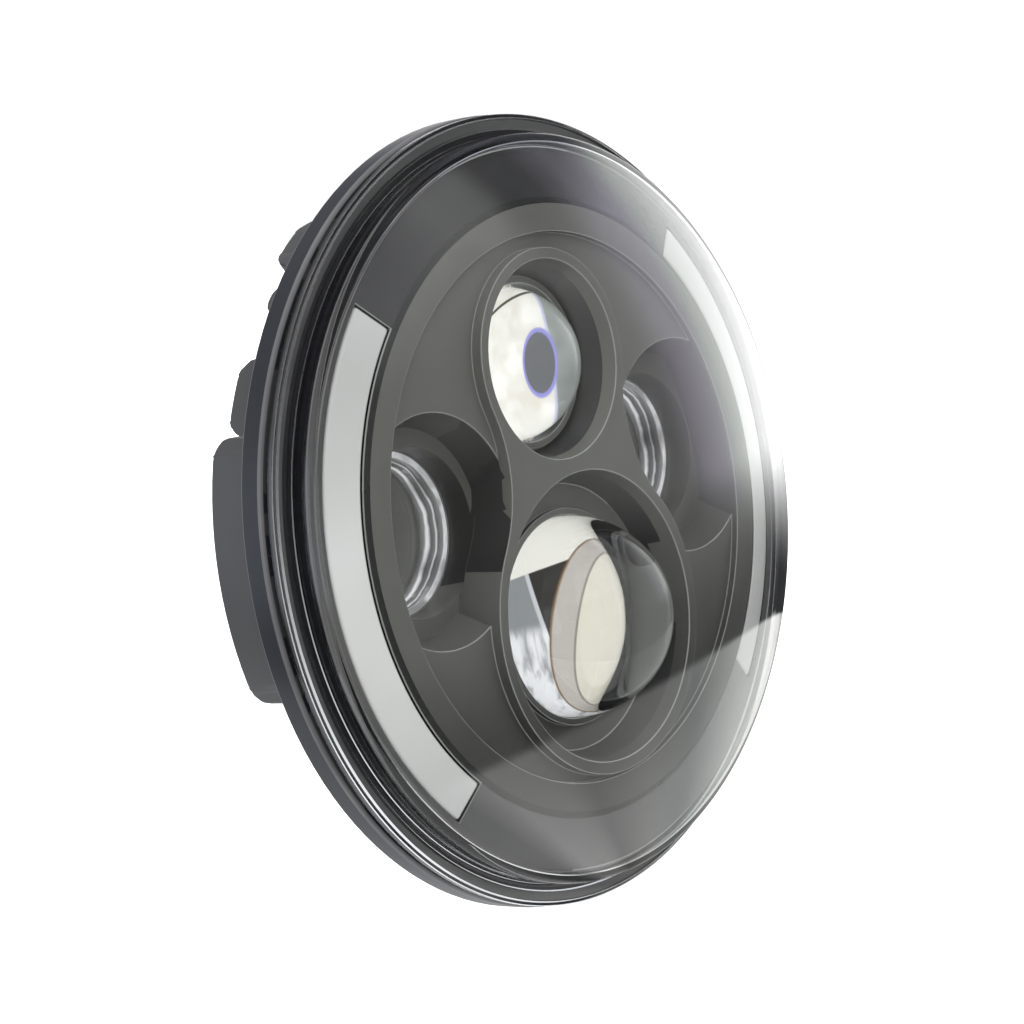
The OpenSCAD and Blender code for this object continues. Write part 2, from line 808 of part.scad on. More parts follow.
module low_holder() {
    color("#2b2b2d") place() difference() {
        union() {
            tube_holder(-low_at_y, low_tube_r);
            low_ears() ear(ear_r);
        }
        low_ears() ear_hole();
        translate([0, -low_at_y, bay_floor_z - past]) cylinder(r = low_tube_r, h = ear_t + 2 * past);
    }
}

module high_holder() {
    color("#2b2b2d") place() difference() {
        union() {
            tube_holder(high_at_y, high_tube_r);
            high_ears() ear(ear_r);
        }
        high_ears() ear_hole();
        translate([0, high_at_y, bay_floor_z - past])
            cylinder(r = high_tube_r, h = ear_t + 2 * past);
    }
}

// Cone that holds a side lens, on a short foot with two ears
module side_holder(side) {
    inner_r = side_eye_r + fit;
    inner_root_r = side_root_r + fit;
    cone_end_z = side_lens_bottom_z;
    color("#2b2b2d") place() difference() {
        union() {
            translate([side * side_eye_x, side_eye_y, 0]) rotate_extrude() polygon([
                [inner_r, side_rim_z], [inner_r + side_holder_wall, side_rim_z],
                [inner_r + side_holder_wall, side_cone_z - 1], [side_foot_r, cone_end_z],
                [side_foot_r, bay_floor_z], [inner_root_r, bay_floor_z],
                [inner_root_r, cone_end_z], [inner_r, side_cone_z]
            ]);
            side_ears(side) ear(side_ear_reach);
        }
        side_ears(side) ear_hole();
        translate([side * side_eye_x, side_eye_y, bay_floor_z - past])
            cylinder(r = inner_root_r, h = ear_t + past);
    }
}

module side_holder_left() {
    side_holder(LEFT);
}

module side_holder_right() {
    side_holder(RIGHT);
}

// Bowl shaped reflector that stands on its board and ends under the lens's ledge
module reflector(y, tube_r) {
    steps = 10;
    mouth_r = tube_r - ledge_w - reflector_t;
    top_z = ledge_low_z - fit;
    depth = top_z - board_top_z;
    inside = [for (i = [0:steps]) let (t = i / steps)
        [reflector_root_r + (mouth_r - reflector_root_r) * sqrt(t), board_top_z + depth * t]];
    color("gainsboro") place() translate([0, y, 0]) rotate_extrude() polygon(concat(
        inside,
        [[tube_r - fit, top_z], [tube_r - fit, top_z - reflector_flange_t]],
        [for (i = [steps - 1:-1:0]) inside[i] + [reflector_t, 0]]
    ));
}

module low_reflector() {
    reflector(-low_at_y, low_tube_r);
}

module high_reflector() {
    reflector(high_at_y, high_tube_r);
}

// Plate with a stepped edge that cuts off the low beam's light, on the reflector's rim
module cutoff_shield() {
    shield_r = low_tube_r - ledge_w - fit;
    step_h = 1.6;
    color("#222222") place() translate([0, -low_at_y, ledge_low_z - fit])
        linear_extrude(shield_t) intersection() {
            circle(r = shield_r);
            polygon([[-shield_r, -shield_r], [shield_r, -shield_r], [shield_r, -step_h],
                [step_h, -step_h], [-step_h, 0], [-shield_r, 0]]);
        }
}

module beam_board(x, y, r) {
    color("whitesmoke") place() translate([x, y, bay_floor_z]) cylinder(r = r, h = board_t);
}

module low_led_board() {
    beam_board(0, -low_at_y, low_tube_r - fit);
}

module high_led_board() {
    beam_board(0, high_at_y, high_tube_r - fit);
}

module side_led_board_left() {
    beam_board(LEFT * side_eye_x, side_eye_y, side_board_r);
}

module side_led_board_right() {
    beam_board(RIGHT * side_eye_x, side_eye_y, side_board_r);
}

module led_emitters() {
    color("gold") place() for (at = [[0, -low_at_y], [0, high_at_y],
        [-side_eye_x, side_eye_y], [side_eye_x, side_eye_y]])
        translate([at[0] - led_size / 2, at[1] - led_size / 2, board_top_z])
            cube([led_size, led_size, led_t]);
}

module holder_screws() {
    color("silver") place() holder_screw_places()
        translate([0, 0, bay_floor_z + ear_t]) screw(ear_t + screw_bite);
}

module bezel_screws() {
    color("silver") place() around(bezel_screw_angles, strip_mid_r)
        translate([0, 0, shelf_z - wall]) mirror([0, 0, 1]) screw(bezel_screw_h);
}

module driver_board() {
    color("darkgreen") place() difference() {
        translate([0, 0, driver_rear_z]) cylinder(r = driver_board_r, h = board_t);
        around(driver_post_angles, post_ring_r)
            translate([0, 0, driver_board_z]) screw_hole(board_t + past);
    }
}

module driver_screws() {
    color("silver") place() around(driver_post_angles, post_ring_r)
        translate([0, 0, driver_rear_z]) mirror([0, 0, 1]) screw(board_t + post_h - fit);
}

module driver_choke() {
    choke_r = 5;
    core_h = 5;
    color("#3a3a3a") place() translate([12 - pocket_r, 0, driver_rear_z - core_h])
        ring(choke_r / 2.5, choke_r, 0, core_h);
}

module driver_capacitors() {
    cap_r = 3;
    cap_h = 5;
    color("slategray") place() for (inset = [7, 13.5])
        translate([pocket_r - inset, -cap_r, driver_rear_z - cap_h])
            cylinder(r = cap_r, h = cap_h);
}

// Rubber grommet in the floor's wire hole
module wire_grommet() {
    lip = 1.2;
    bore_r = 1.6;
    color("#151515") place() translate([0, wire_hole_y, 0]) {
        ring(bore_r, wire_hole_r - screw_fit, back_z, bay_floor_z);
        ring(bore_r, wire_hole_r + lip, bay_floor_z, bay_floor_z + lip);
    }
}

// Outline of the rear cover and its gasket: a disc with four ears
module cover_outline() {
    circle(r = pocket_r + pocket_wall);
    around(cover_screw_angles, cover_screw_r) circle(r = cover_ear_r);
}

module rear_cover() {
    color("#343538") place() difference() {
        translate([0, 0, cover_out_z]) linear_extrude(cover_t) cover_outline();
        around(cover_screw_angles, cover_screw_r)
            translate([0, 0, cover_in_z]) screw_hole(cover_t + past);
        translate([0, 0, cover_out_z - past]) cylinder(r = gland_r + fit, h = cover_t + 2 * past);
        translate([0, vent_y, cover_out_z - past])
            cylinder(r = vent_r / 2 + fit, h = cover_t + 2 * past);
    }
}

module cover_gasket() {
    color("#101114") place() translate([0, 0, cover_in_z]) linear_extrude(gasket_t)
        difference() {
            cover_outline();
            circle(r = pocket_r);
            around(cover_screw_angles, cover_screw_r) circle(r = screw_r + screw_fit);
        }
}

module cover_screws() {
    color("silver") place() around(cover_screw_angles, cover_screw_r)
        translate([0, 0, cover_out_z]) mirror([0, 0, 1])
            screw(cover_t + gasket_t + long_bite);
}

// Radius of a hexagon's corners from its width across flats
function hex_r(flats) = flats / 2 / cos(30);

module hexagon(flats, h) {
    cylinder(r = hex_r(flats), h = h, $fn = 6);
}

// Gland body: a threaded stub through the cover, a hexagon and a throat for the seal
module gland_body() {
    stub_in = 4;
    throat_h = 4;
    throat_r = gland_r;
    bore_r = cable_r + 0.7;
    bore_l = throat_h + gland_hex_h + cover_t + stub_in + 2 * past;
    color("#1b1b1d") place() difference() {
        union() {
            translate([0, 0, cover_in_z]) mirror([0, 0, 1]) cylinder(r = gland_r, h = cover_t);
            translate([0, 0, cover_in_z]) cylinder(r = gland_r, h = stub_in);
            translate([0, 0, cover_out_z - gland_hex_h]) hexagon(gland_flats, gland_hex_h);
            translate([0, 0, cover_out_z - gland_hex_h - throat_h])
                cylinder(r = throat_r, h = throat_h + past);
        }
        translate([0, 0, cover_out_z - gland_hex_h - throat_h - past])
            cylinder(r = bore_r, h = bore_l);
    }
}

// Rubber sleeve that grips the cable in front of the gland's throat
module gland_seal() {
    throat_h = 4;
    sleeve_h = gland_nut_h - throat_h - 1.2;
    color("#101114") place()
        ring(cable_r, gland_r - 0.6, cover_out_z - gland_hex_h - throat_h - sleeve_h,
            cover_out_z - gland_hex_h - throat_h);
}

// Domed cap nut over the throat and the sleeve
module gland_nut() {
    z0 = cover_out_z - gland_hex_h;
    mouth_r = cable_r + 0.5;
    color("#1b1b1d") place() difference() {
        intersection() {
            translate([0, 0, z0 - gland_nut_h]) hexagon(gland_flats, gland_nut_h);
            translate([0, 0, z0 + 1]) mirror([0, 0, 1])
                cylinder(r1 = hex_r(gland_flats) + 2, r2 = gland_flats / 2 - 1,
                    h = gland_nut_h + 1);
        }
        translate([0, 0, z0 - gland_nut_h + 1.2]) cylinder(r = gland_r + fit, h = gland_nut_h);
        translate([0, 0, z0 - gland_nut_h - past]) cylinder(r = mouth_r, h = gland_nut_h);
    }
}

module gland_locknut() {
    nut_h = 2.5;
    color("#1b1b1d") place() difference() {
        translate([0, 0, cover_in_z]) hexagon(gland_flats - 1, nut_h);
        translate([0, 0, cover_in_z - past]) cylinder(r = gland_r + screw_fit, h = nut_h + 2 * past);
    }
}

// Pressure vent: a low cap on a stem through the cover
module breather_vent() {
    cap_h = 2;
    color("#1b1b1d") place() translate([0, vent_y, 0]) {
        translate([0, 0, cover_out_z - cap_h]) cylinder(r = vent_r, h = cap_h);
        translate([0, 0, cover_out_z]) cylinder(r = vent_r / 2, h = cover_t);
    }
}

housing();
lens_seal();
front_lens();
bezel();
light_guide_left();
light_guide_right();
drl_board_left();
drl_board_right();
drl_leds();
drl_screws();
low_lens();
high_lens();
side_lens_left();
side_lens_right();
low_holder();
high_holder();
side_holder_left();
side_holder_right();
low_reflector();
high_reflector();
cutoff_shield();
low_led_board();
high_led_board();
side_led_board_left();
side_led_board_right();
led_emitters();
holder_screws();
bezel_screws();
driver_board();
driver_choke();
driver_capacitors();
driver_screws();
wire_grommet();
rear_cover();
cover_gasket();
cover_screws();
gland_body();
gland_nut();
gland_seal();
gland_locknut();
breather_vent();
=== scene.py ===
"""Looks for the led headlight: a domed clear lens over a grey bezel with two
projector lenses, two side lenses and two light strips, in a finned casting."""
import math

import bmesh
import bpy
from mathutils import Matrix, Vector


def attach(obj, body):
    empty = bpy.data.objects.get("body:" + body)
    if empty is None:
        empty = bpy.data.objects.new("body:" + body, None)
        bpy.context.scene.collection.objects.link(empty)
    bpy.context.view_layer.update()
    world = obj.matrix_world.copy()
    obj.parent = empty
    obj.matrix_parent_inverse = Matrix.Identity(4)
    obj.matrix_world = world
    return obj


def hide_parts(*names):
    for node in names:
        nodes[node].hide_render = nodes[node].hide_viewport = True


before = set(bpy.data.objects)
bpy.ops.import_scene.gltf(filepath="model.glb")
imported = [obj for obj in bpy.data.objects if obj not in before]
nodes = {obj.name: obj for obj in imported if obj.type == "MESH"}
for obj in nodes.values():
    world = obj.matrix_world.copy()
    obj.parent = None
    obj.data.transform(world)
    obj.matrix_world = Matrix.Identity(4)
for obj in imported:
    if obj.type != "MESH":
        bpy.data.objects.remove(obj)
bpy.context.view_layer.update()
scene = bpy.context.scene
MM = 0.001

# The camera
# A long lens looks at the lamp from its left front, and a little from above.
# The camera is rolled, so the lamp leans as it does in the photograph.
camera_turn = math.radians(-49.85)
camera_rise = math.radians(7.92)
camera_roll = math.radians(-10.91)
camera_distance = 0.5915
camera_lens = 91.7
camera_shift = (-0.01274, -0.0019)

back = Vector((
    math.sin(camera_turn) * math.cos(camera_rise),
    -math.cos(camera_turn) * math.cos(camera_rise),
    math.sin(camera_rise)))
level_right = Vector((math.cos(camera_turn), math.sin(camera_turn), 0))
level_up = back.cross(level_right)
right = math.cos(camera_roll) * level_right + math.sin(camera_roll) * level_up
up = back.cross(right)
camera_data = bpy.data.cameras.new("camera")
camera_data.lens = camera_lens
camera_data.sensor_width = 36
camera_data.shift_x, camera_data.shift_y = camera_shift
camera_data.clip_start = 0.01
camera = bpy.data.objects.new("camera", camera_data)
camera.matrix_world = Matrix((
    (right.x, up.x, back.x, back.x * camera_distance),
    (right.y, up.y, back.y, back.y * camera_distance),
    (right.z, up.z, back.z, back.z * camera_distance),
    (0, 0, 0, 1)))
scene.collection.objects.link(camera)
scene.camera = camera

# The studio
# Sizes are in metres. A pale floor lies under the lamp, in a bright room like a tent.
# In reflections the room is dark in front, where the camera stands, and the
# floor is a round white sheet that ends a hand's breadth before the lamp.
scene.view_settings.view_transform = "Standard"
scene.view_settings.look = "None"
floor_level = -0.0895
floor_size = 5.0
floor_bounce = 1.15
floor_glow = 0.9
sheet_middle = (0.030, 0.140)
sheet_radius = 0.2235
gap_grey = (0.035, 0.035, 0.037)
walls_start = 0.30
walls_end = 0.80
turned_back = 4.5


class Nodes:
    """A node tree whose nodes are added one by one and joined by name."""

    def __init__(self, tree):
        self.tree = tree
        self.tree.nodes.clear()

    def add(self, kind, settings=None, **inputs):
        node = self.tree.nodes.new(kind)
        for name, value in (settings or {}).items():
            setattr(node, name, value)
        for name, value in inputs.items():
            self.put(node, name.replace("_", " "), value)
        return node

    def put(self, node, socket, value):
        target = node.inputs[socket] if isinstance(socket, int) else node.inputs.get(socket)
        if target is None:
            target = next(s for s in node.inputs if s.name.lower() == socket.lower())
        if isinstance(value, bpy.types.NodeSocket):
            self.tree.links.new(value, target)
        elif isinstance(value, (tuple, list)) and len(value) == 3 and target.type == "RGBA":
            target.default_value = (*value, 1)
        else:
            target.default_value = value

    def sum(self, operation, *values):
        """A maths node on numbers or sockets."""
        node = self.add("ShaderNodeMath", {"operation": operation})
        for i, value in enumerate(values):
            self.put(node, i, value)
        return node.outputs[0]

    def step(self, value, low, high, start=0.0, end=1.0):
        """A soft step from start to end while the value runs from low to high."""
        return self.add("ShaderNodeMapRange", {"interpolation_type": "SMOOTHSTEP"}, Value=value,
                        From_Min=low, From_Max=high, To_Min=start, To_Max=end).outputs[0]

    def blend(self, share, first, second):
        """A mixture of two shaders."""
        node = self.add("ShaderNodeMixShader")
        for i, value in enumerate((share, first.outputs[0], second.outputs[0])):
            self.put(node, i, value)
        return node

    def tint(self, share, first, second, how="MIX"):
        """A mixture of two colours."""
        node = self.add("ShaderNodeMix", {"data_type": "RGBA", "blend_type": how})
        for i, value in ((0, share), (6, first), (7, second)):
            self.put(node, i, value)
        return node.outputs[2]

    def noise(self, scale, detail=3.0, rough=0.5, where=None):
        return self.add("ShaderNodeTexNoise", Vector=where or self.place(), Scale=scale,
                        Detail=detail, Roughness=rough).outputs[0]

    def place(self):
        return self.add("ShaderNodeTexCoord").outputs["Object"]

    def split(self, vector=None):
        """The three parts of a vector, or of the place in the lamp's frame."""
        return self.add("ShaderNodeSeparateXYZ", Vector=vector or self.place()).outputs

    def vector(self, operation, *values):
        """A number from a vector maths node on vectors or sockets."""
        node = self.add("ShaderNodeVectorMath", {"operation": operation})
        for i, value in enumerate(values):
            self.put(node, i, value)
        return node.outputs["Value"]

    def ramp(self, value, stops):
        node = self.add("ShaderNodeValToRGB", Fac=value)
        line = node.color_ramp
        while len(line.elements) < len(stops):
            line.elements.new(0.5)
        for element, (at, colour) in zip(line.elements, stops):
            element.position = at
            element.color = (*colour, 1) if len(colour) == 3 else colour
        return node.outputs[0]

    def around(self, vector, stops):
        """A colour by the turn of a vector about the vertical, in degrees from the front."""
        part = self.split(vector)
        turn = self.sum("ARCTAN2", part[0], self.sum("MULTIPLY", part[1], -1.0))
        return self.ramp(self.sum("MULTIPLY_ADD", turn, 1 / math.tau, 0.5),
                         [(at / 360 + 0.5, colour) for at, colour in stops])


class Paint(Nodes):
    """A material."""

    def __init__(self, name):
        self.material = bpy.data.materials.new(name)
        self.material.use_nodes = True
        super().__init__(self.material.node_tree)
        self.out = self.add("ShaderNodeOutputMaterial")

    def surface(self, shader):
        self.tree.links.new(shader.outputs[0], self.out.inputs["Surface"])
        return self.material

    def gloss(self, **inputs):
        """The material with one Principled shader as its whole surface."""
        return self.surface(self.add("ShaderNodeBsdfPrincipled", **inputs))

    def spread(self, value, low, high):
        return self.add("ShaderNodeMapRange", Value=value, To_Min=low, To_Max=high).outputs[0]

    def bump(self, height, strength, distance):
        return self.add("ShaderNodeBump", Height=height, Strength=strength,
                        Distance=distance).outputs[0]


def give(piece, *materials):
    """Put materials in a piece's slots, in order, and keep what each face uses."""
    slots = piece.data.materials
    for i, material in enumerate(materials):
        if i < len(slots):
            slots[i] = material
        else:
            slots.append(material)


# Brightness of the walls by turn from the front: two narrow soft boxes at the left,
# dark behind the camera, then brighter and brighter towards the right; then that of
# the ceiling, with a dark beam across it, and that of the round sheet.
walls = [(-180, (0.6, 0.6, 0.62)), (-160, (0.10, 0.10, 0.11)), (-150, (0.85, 0.93, 1.05)),
         (-128, (0.85, 0.93, 1.05)), (-118, (0.03, 0.03, 0.04)), (-84, (0.03, 0.03, 0.04)),
         (-80, (1.0, 1.05, 1.15)), (-66, (1.0, 1.05, 1.15)), (-62, (0.05, 0.05, 0.05)),
         (-10, (0.06, 0.06, 0.06)), (30, (0.13, 0.13, 0.12)), (54, (0.19, 0.19, 0.20)),
         (61, (0.27, 0.26, 0.29)), (68, (0.66, 0.62, 0.74)), (76, (0.84, 0.81, 0.94)),
         (82, (1.15, 1.24, 1.17)), (90, (1.5, 1.5, 1.5)), (100, (1.6, 1.6, 1.6)),
         (180, (0.9, 0.9, 0.92))]
overhead = [(-180, (0.3, 0.3, 0.32)), (-60, (0.25, 0.25, 0.27)), (20, (0.35, 0.35, 0.37)),
            (36, (0.60, 0.60, 0.60)), (46, (0.50, 0.50, 0.50)), (53, (0.04, 0.04, 0.04)),
            (62, (0.04, 0.04, 0.04)), (70, (0.40, 0.40, 0.46)), (180, (0.3, 0.3, 0.32))]
sheet = [(-180, (0.9, 0.9, 0.9)), (-140, (0.9, 0.93, 0.97)), (-75, (0.9, 0.9, 0.9)),
         (-60, (0.9, 0.9, 0.9)), (-48, (0.22, 0.22, 0.22)), (-40, (0.20, 0.20, 0.20)),
         (-28, (0.95, 0.95, 0.93)), (-10, (0.80, 0.80, 0.78)), (4, (0.42, 0.42, 0.41)),
         (35, (0.65, 0.64, 0.62)), (58, (0.5, 0.53, 0.52)), (77, (0.9, 0.92, 0.88)),
         (100, (1.0, 1.0, 0.98)), (180, (0.9, 0.9, 0.9))]


def white_floor():
    """White paper to the camera; to the lamp, the sheet, a dark gap, and the far walls."""
    paint = Paint("floor")
    grain = paint.noise(6, 4)
    paper = paint.add(
        "ShaderNodeBsdfPrincipled", Roughness=0.8,
        Base_Color=paint.ramp(grain, [(0.3, (0.86, 0.86, 0.86)), (0.7, (0.9, 0.9, 0.9))]))
    seen = paint.add("ShaderNodeAddShader")
    paint.put(seen, 0, paper.outputs[0])
    paint.put(seen, 1, paint.add("ShaderNodeEmission", Strength=floor_glow).outputs[0])
    place = paint.place()
    beyond = paint.vector("DISTANCE", place, (*sheet_middle, floor_level))
    gap = paint.step(beyond, sheet_radius - 0.002, sheet_radius + 0.003)
    near = paint.tint(gap, paint.around(place, sheet), gap_grey)
    far = paint.step(paint.vector("LENGTH", place), walls_start, walls_end)
    glow = paint.add("ShaderNodeEmission",
                     Color=paint.tint(far, near, paint.around(place, walls)))
    path = paint.add("ShaderNodeLightPath")
    bounce = paint.add("ShaderNodeEmission", Strength=floor_bounce)
    lower = paint.blend(path.outputs["Is Diffuse Ray"], glow, bounce)
    lower = paint.blend(path.outputs["Is Camera Ray"], lower, seen)
    through = paint.sum("GREATER_THAN", path.outputs["Transmission Depth"], turned_back)
    give(floor, paint.surface(paint.blend(through, lower,
                                          paint.add("ShaderNodeBsdfTransparent"))))


def new_mesh(name, points, faces):
    """A mesh object from points in millimetres, in the lamp's own frame."""
    mesh = bpy.data.meshes.new(name)
    mesh.from_pydata([(x * MM, y * MM, z * MM) for x, y, z in points], [], faces)
    mesh.update()
    piece = bpy.data.objects.new(name, mesh)
    scene.collection.objects.link(piece)
    return piece


floor = new_mesh("floor", [
    (x * floor_size / MM, y * floor_size / MM, floor_level / MM)
    for x, y in ((-1, -1), (1, -1), (1, 1), (-1, 1))], [(0, 1, 2, 3)])
white_floor()

world = bpy.data.worlds.new("studio")
world.cycles.sampling_method = "NONE"
scene.world = world
world.use_nodes = True
sky = Nodes(world.node_tree)
direction = sky.add("ShaderNodeTexCoord").outputs["Generated"]
axes = sky.split(direction)
height = axes[2]
patches = sky.step(sky.noise(3.2, 1.0, 0.4, direction), 0.42, 0.56, 0.75, 1.1)
upper = sky.step(height, 0.30, 0.46)
ceiling = sky.tint(1.0, sky.around(direction, overhead), patches, "MULTIPLY")
room = sky.tint(upper, sky.around(direction, walls), ceiling)

# What the thick lenses show after two turns of the light inside them: the white
# sheet, a dark wedge beyond it, a grey panel at the side and a round cream screen.
lean = sky.sum("MULTIPLY_ADD", height, -0.4, 1.10)
beside = sky.sum("MULTIPLY_ADD", axes[1], lean, axes[0])
low = sky.sum("MULTIPLY_ADD", axes[0], -0.168, height)
streaks = sky.noise(5.0, 3.0, 0.6, sky.add("ShaderNodeMapping", Vector=direction,
                                           Scale=(2.0, 2.0, 0.5)).outputs[0])
panel = sky.tint(sky.step(beside, 0.035, 0.05), (0.78, 0.80, 0.82), (0.36, 0.38, 0.40))
panel = sky.tint(sky.step(height, -0.16, -0.06), panel,
                 sky.ramp(streaks, [(0.36, (0.50, 0.51, 0.53)), (0.50, (1.15, 1.16, 1.18))]))
wedge = sky.tint(sky.step(beside, -0.008, 0.004), (0.045, 0.043, 0.038), panel)
wedge = sky.tint(sky.step(height, -0.03, 0.02), wedge, panel)
around_screen = sky.tint(sky.step(low, -0.580, -0.570), (1.15, 1.13, 1.04), wedge)
ring = sky.vector("DOT_PRODUCT", direction, (0.0867, -0.9907, 0.1045))
core = sky.vector("DOT_PRODUCT", direction, (0.0346, -0.9897, 0.1392))
tent = sky.tint(sky.step(ring, 0.712, 0.722), around_screen, (0.30, 0.19, 0.09))
tent = sky.tint(sky.step(ring, 0.722, 0.732), tent, (0.72, 0.67, 0.62))
tent = sky.tint(sky.step(core, 0.786, 0.792), tent, (0.40, 0.37, 0.32))
tent = sky.tint(sky.step(core, 0.796, 0.803), tent, (1.02, 0.97, 0.82))

path = sky.add("ShaderNodeLightPath")
deep = sky.sum("GREATER_THAN", path.outputs["Transmission Depth"], turned_back)
around_lamp = sky.add("ShaderNodeBackground", Color=sky.tint(deep, room, tent))
soft = sky.add("ShaderNodeBackground", Color=(1, 1, 1),
               Strength=sky.step(height, -0.2, 0.9, 1.1, 1.25))
backdrop = sky.add("ShaderNodeBackground", Color=(1, 1, 1), Strength=1.05)
lit = sky.blend(path.outputs["Is Diffuse Ray"], around_lamp, soft)
seen = sky.blend(path.outputs["Is Camera Ray"], lit, backdrop)
sky.put(sky.add("ShaderNodeOutputWorld"), "Surface", seen.outputs[0])


def soft_box(name, place, target, width, height, power):
    """A rectangular area light at a place in metres, turned towards another place."""
    light = bpy.data.lights.new(name, "AREA")
    light.shape = "RECTANGLE"
    light.size = width
    light.size_y = height
    light.energy = power
    lamp = bpy.data.objects.new(name, light)
    lamp.location = place
    lamp.rotation_euler = (Vector(target) - Vector(place)).to_track_quat("-Z", "Y").to_euler()
    lamp.visible_glossy = False
    lamp.visible_transmission = False
    scene.collection.objects.link(lamp)
    return lamp


soft_box("overhead box", (-0.3, -0.6, 1.6), (0, 0, 0), 1.6, 1.2, 10)

# The casting
# One aluminium die casting: rim, bowl, fins, side pads and driver pocket.
# It is blasted and painted in a satin charcoal that leans to blue.


def dressed(node, bevel=0.25, sharp=32, segments=2, materials=(), zone=None, plain=None):
    """A smooth copy of a CAD node with small rounded edges, which stands for the node.
    The last of the materials is that of the rounded edges; zone picks one for each face
    from its mean x, its mean radius, its height and how far it faces forward. Rounded
    edges where plain is true of their x and height keep the first material."""
    mesh = nodes[node].data.copy()
    mesh.name = node + "_dressed"
    mesh.materials.clear()
    for material in materials:
        mesh.materials.append(material)
    work = bmesh.new()
    work.from_mesh(mesh)
    bmesh.ops.remove_doubles(work, verts=work.verts, dist=4e-5)
    bmesh.ops.dissolve_limit(work, angle_limit=math.radians(0.6), verts=work.verts,
                             edges=work.edges)
    bmesh.ops.triangulate(work, faces=[face for face in work.faces if len(face.verts) > 4])
    for face in work.faces:
        face.material_index = 0
        if zone:
            spots = [v.co for v in face.verts]
            face.material_index = zone(
                sum(c.x for c in spots) / len(spots) / MM,
                sum(math.hypot(c.x, c.z) for c in spots) / len(spots) / MM,
                -sum(c.y for c in spots) / len(spots) / MM, -face.normal.y)
    if bevel:
        edges = [e for e in work.edges if len(e.link_faces) == 2
                 and e.calc_face_angle(0) > math.radians(sharp)
                 and e.calc_length() > max(0.6, 1.5 * bevel) * MM]
        bmesh.ops.bevel(work, geom=edges, offset=bevel * MM, offset_type="OFFSET",
                        segments=segments, profile=0.5, affect="EDGES",
                        clamp_overlap=False, material=max(0, len(materials) - 1))
        for face in work.faces:
            if plain and face.material_index == len(materials) - 1:
                spot = face.calc_center_median()
                if plain(spot.x / MM, -spot.y / MM):
                    face.material_index = 0
    work.to_mesh(mesh)
    work.free()
    piece = bpy.data.objects.new(mesh.name, mesh)
    scene.collection.objects.link(piece)
    piece.data.shade_smooth()
    piece.data.set_sharp_from_angle(angle=math.radians(sharp))
    flat = piece.modifiers.new("flat faces", "WEIGHTED_NORMAL")
    flat.keep_sharp = True
    return piece


def cast(name, dark, light, rough):
    """Satin paint on a blasted casting, a little cloudy."""
    paint = Paint(name)
    cloud = paint.noise(35, 3)
    return paint.gloss(Base_Color=paint.ramp(cloud, [(0.35, dark), (0.65, light)]),
                       Roughness=paint.spread(cloud, rough - 0.05, rough + 0.05),
                       Normal=paint.bump(paint.noise(2600, 2), 0.25, 0.00004))


rim_inner_r = 85
rim_back_h = 0.3
casting_grey = cast("charcoal casting", (0.062, 0.063, 0.066), (0.072, 0.073, 0.076), 0.42)
casting_rim = cast("blue charcoal rim", (0.020, 0.023, 0.030), (0.027, 0.030, 0.037), 0.34)
# The rounded edges of the casting are painted lighter: a painted highlight along them.
casting_edge_highlight = cast("casting edge painted highlight", (0.11, 0.11, 0.115), (0.16, 0.16, 0.165), 0.28)
for name, bevel in (("housing", 0.35), ("rear_cover", 0.3)):
    piece = dressed(name, bevel, materials=(casting_grey, casting_rim, casting_edge_highlight),
                    zone=lambda x, r, h, front: int(r > rim_inner_r and h > rim_back_h))
    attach(piece, "root")
    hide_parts(name)

# The seal
# A flat ring of moulded black rubber that lies on the rim, under the front lens.
# The rear cover, the gland and the wires have seals of the same rubber.


def mottled(name, scale, dark, light, detail=3, spread=0.2, grain=0, depth=0.0, **inputs):
    """A finish whose colour is a fine mottle of two, with a moulded grain where given."""
    paint = Paint(name)
    base = paint.ramp(paint.noise(scale, detail), [(0.5 - spread, dark), (0.5 + spread, light)])
    if grain:
        inputs["Normal"] = paint.bump(paint.noise(grain, 2), 0.2, depth)
    return paint.gloss(Base_Color=base, **inputs)


rubber = mottled("black rubber", 300, (0.010, 0.010, 0.011), (0.016, 0.016, 0.017),
                 grain=1800, depth=0.00004, Roughness=0.55)
for name in ("lens_seal", "cover_gasket", "gland_seal", "wire_grommet"):
    give(nodes[name], rubber)

# The front lens
# One clear polycarbonate moulding, glued to the seal: a stepped flange, an
# upright wall, a rounded shoulder and a shallow dome.


def rounded(points, steps=5):
    """A profile from (radius, height, corner radius) points, with its corners rounded."""
    out = []
    count = len(points)
    for i, (r, h, q) in enumerate(points):
        if not q:
            out.append((r, h))
            continue
        before = Vector(points[i - 1][:2]) - Vector((r, h))
        after = Vector(points[(i + 1) % count][:2]) - Vector((r, h))
        turn = before.angle(after)
        reach = min(q / math.tan(turn / 2), 0.49 * before.length, 0.49 * after.length)
        radius = reach * math.tan(turn / 2)
        middle = Vector((r, h)) + (before.normalized() + after.normalized()).normalized() * (
            radius / math.sin(turn / 2))
        start = Vector((r, h)) + before.normalized() * reach - middle
        end = Vector((r, h)) + after.normalized() * reach - middle
        sweep = start.angle_signed(end)
        for k in range(steps + 1):
            spoke = start.copy()
            spoke.rotate(Matrix.Rotation(-sweep * k / steps, 2))
            out.append(tuple(middle + spoke))
    return out


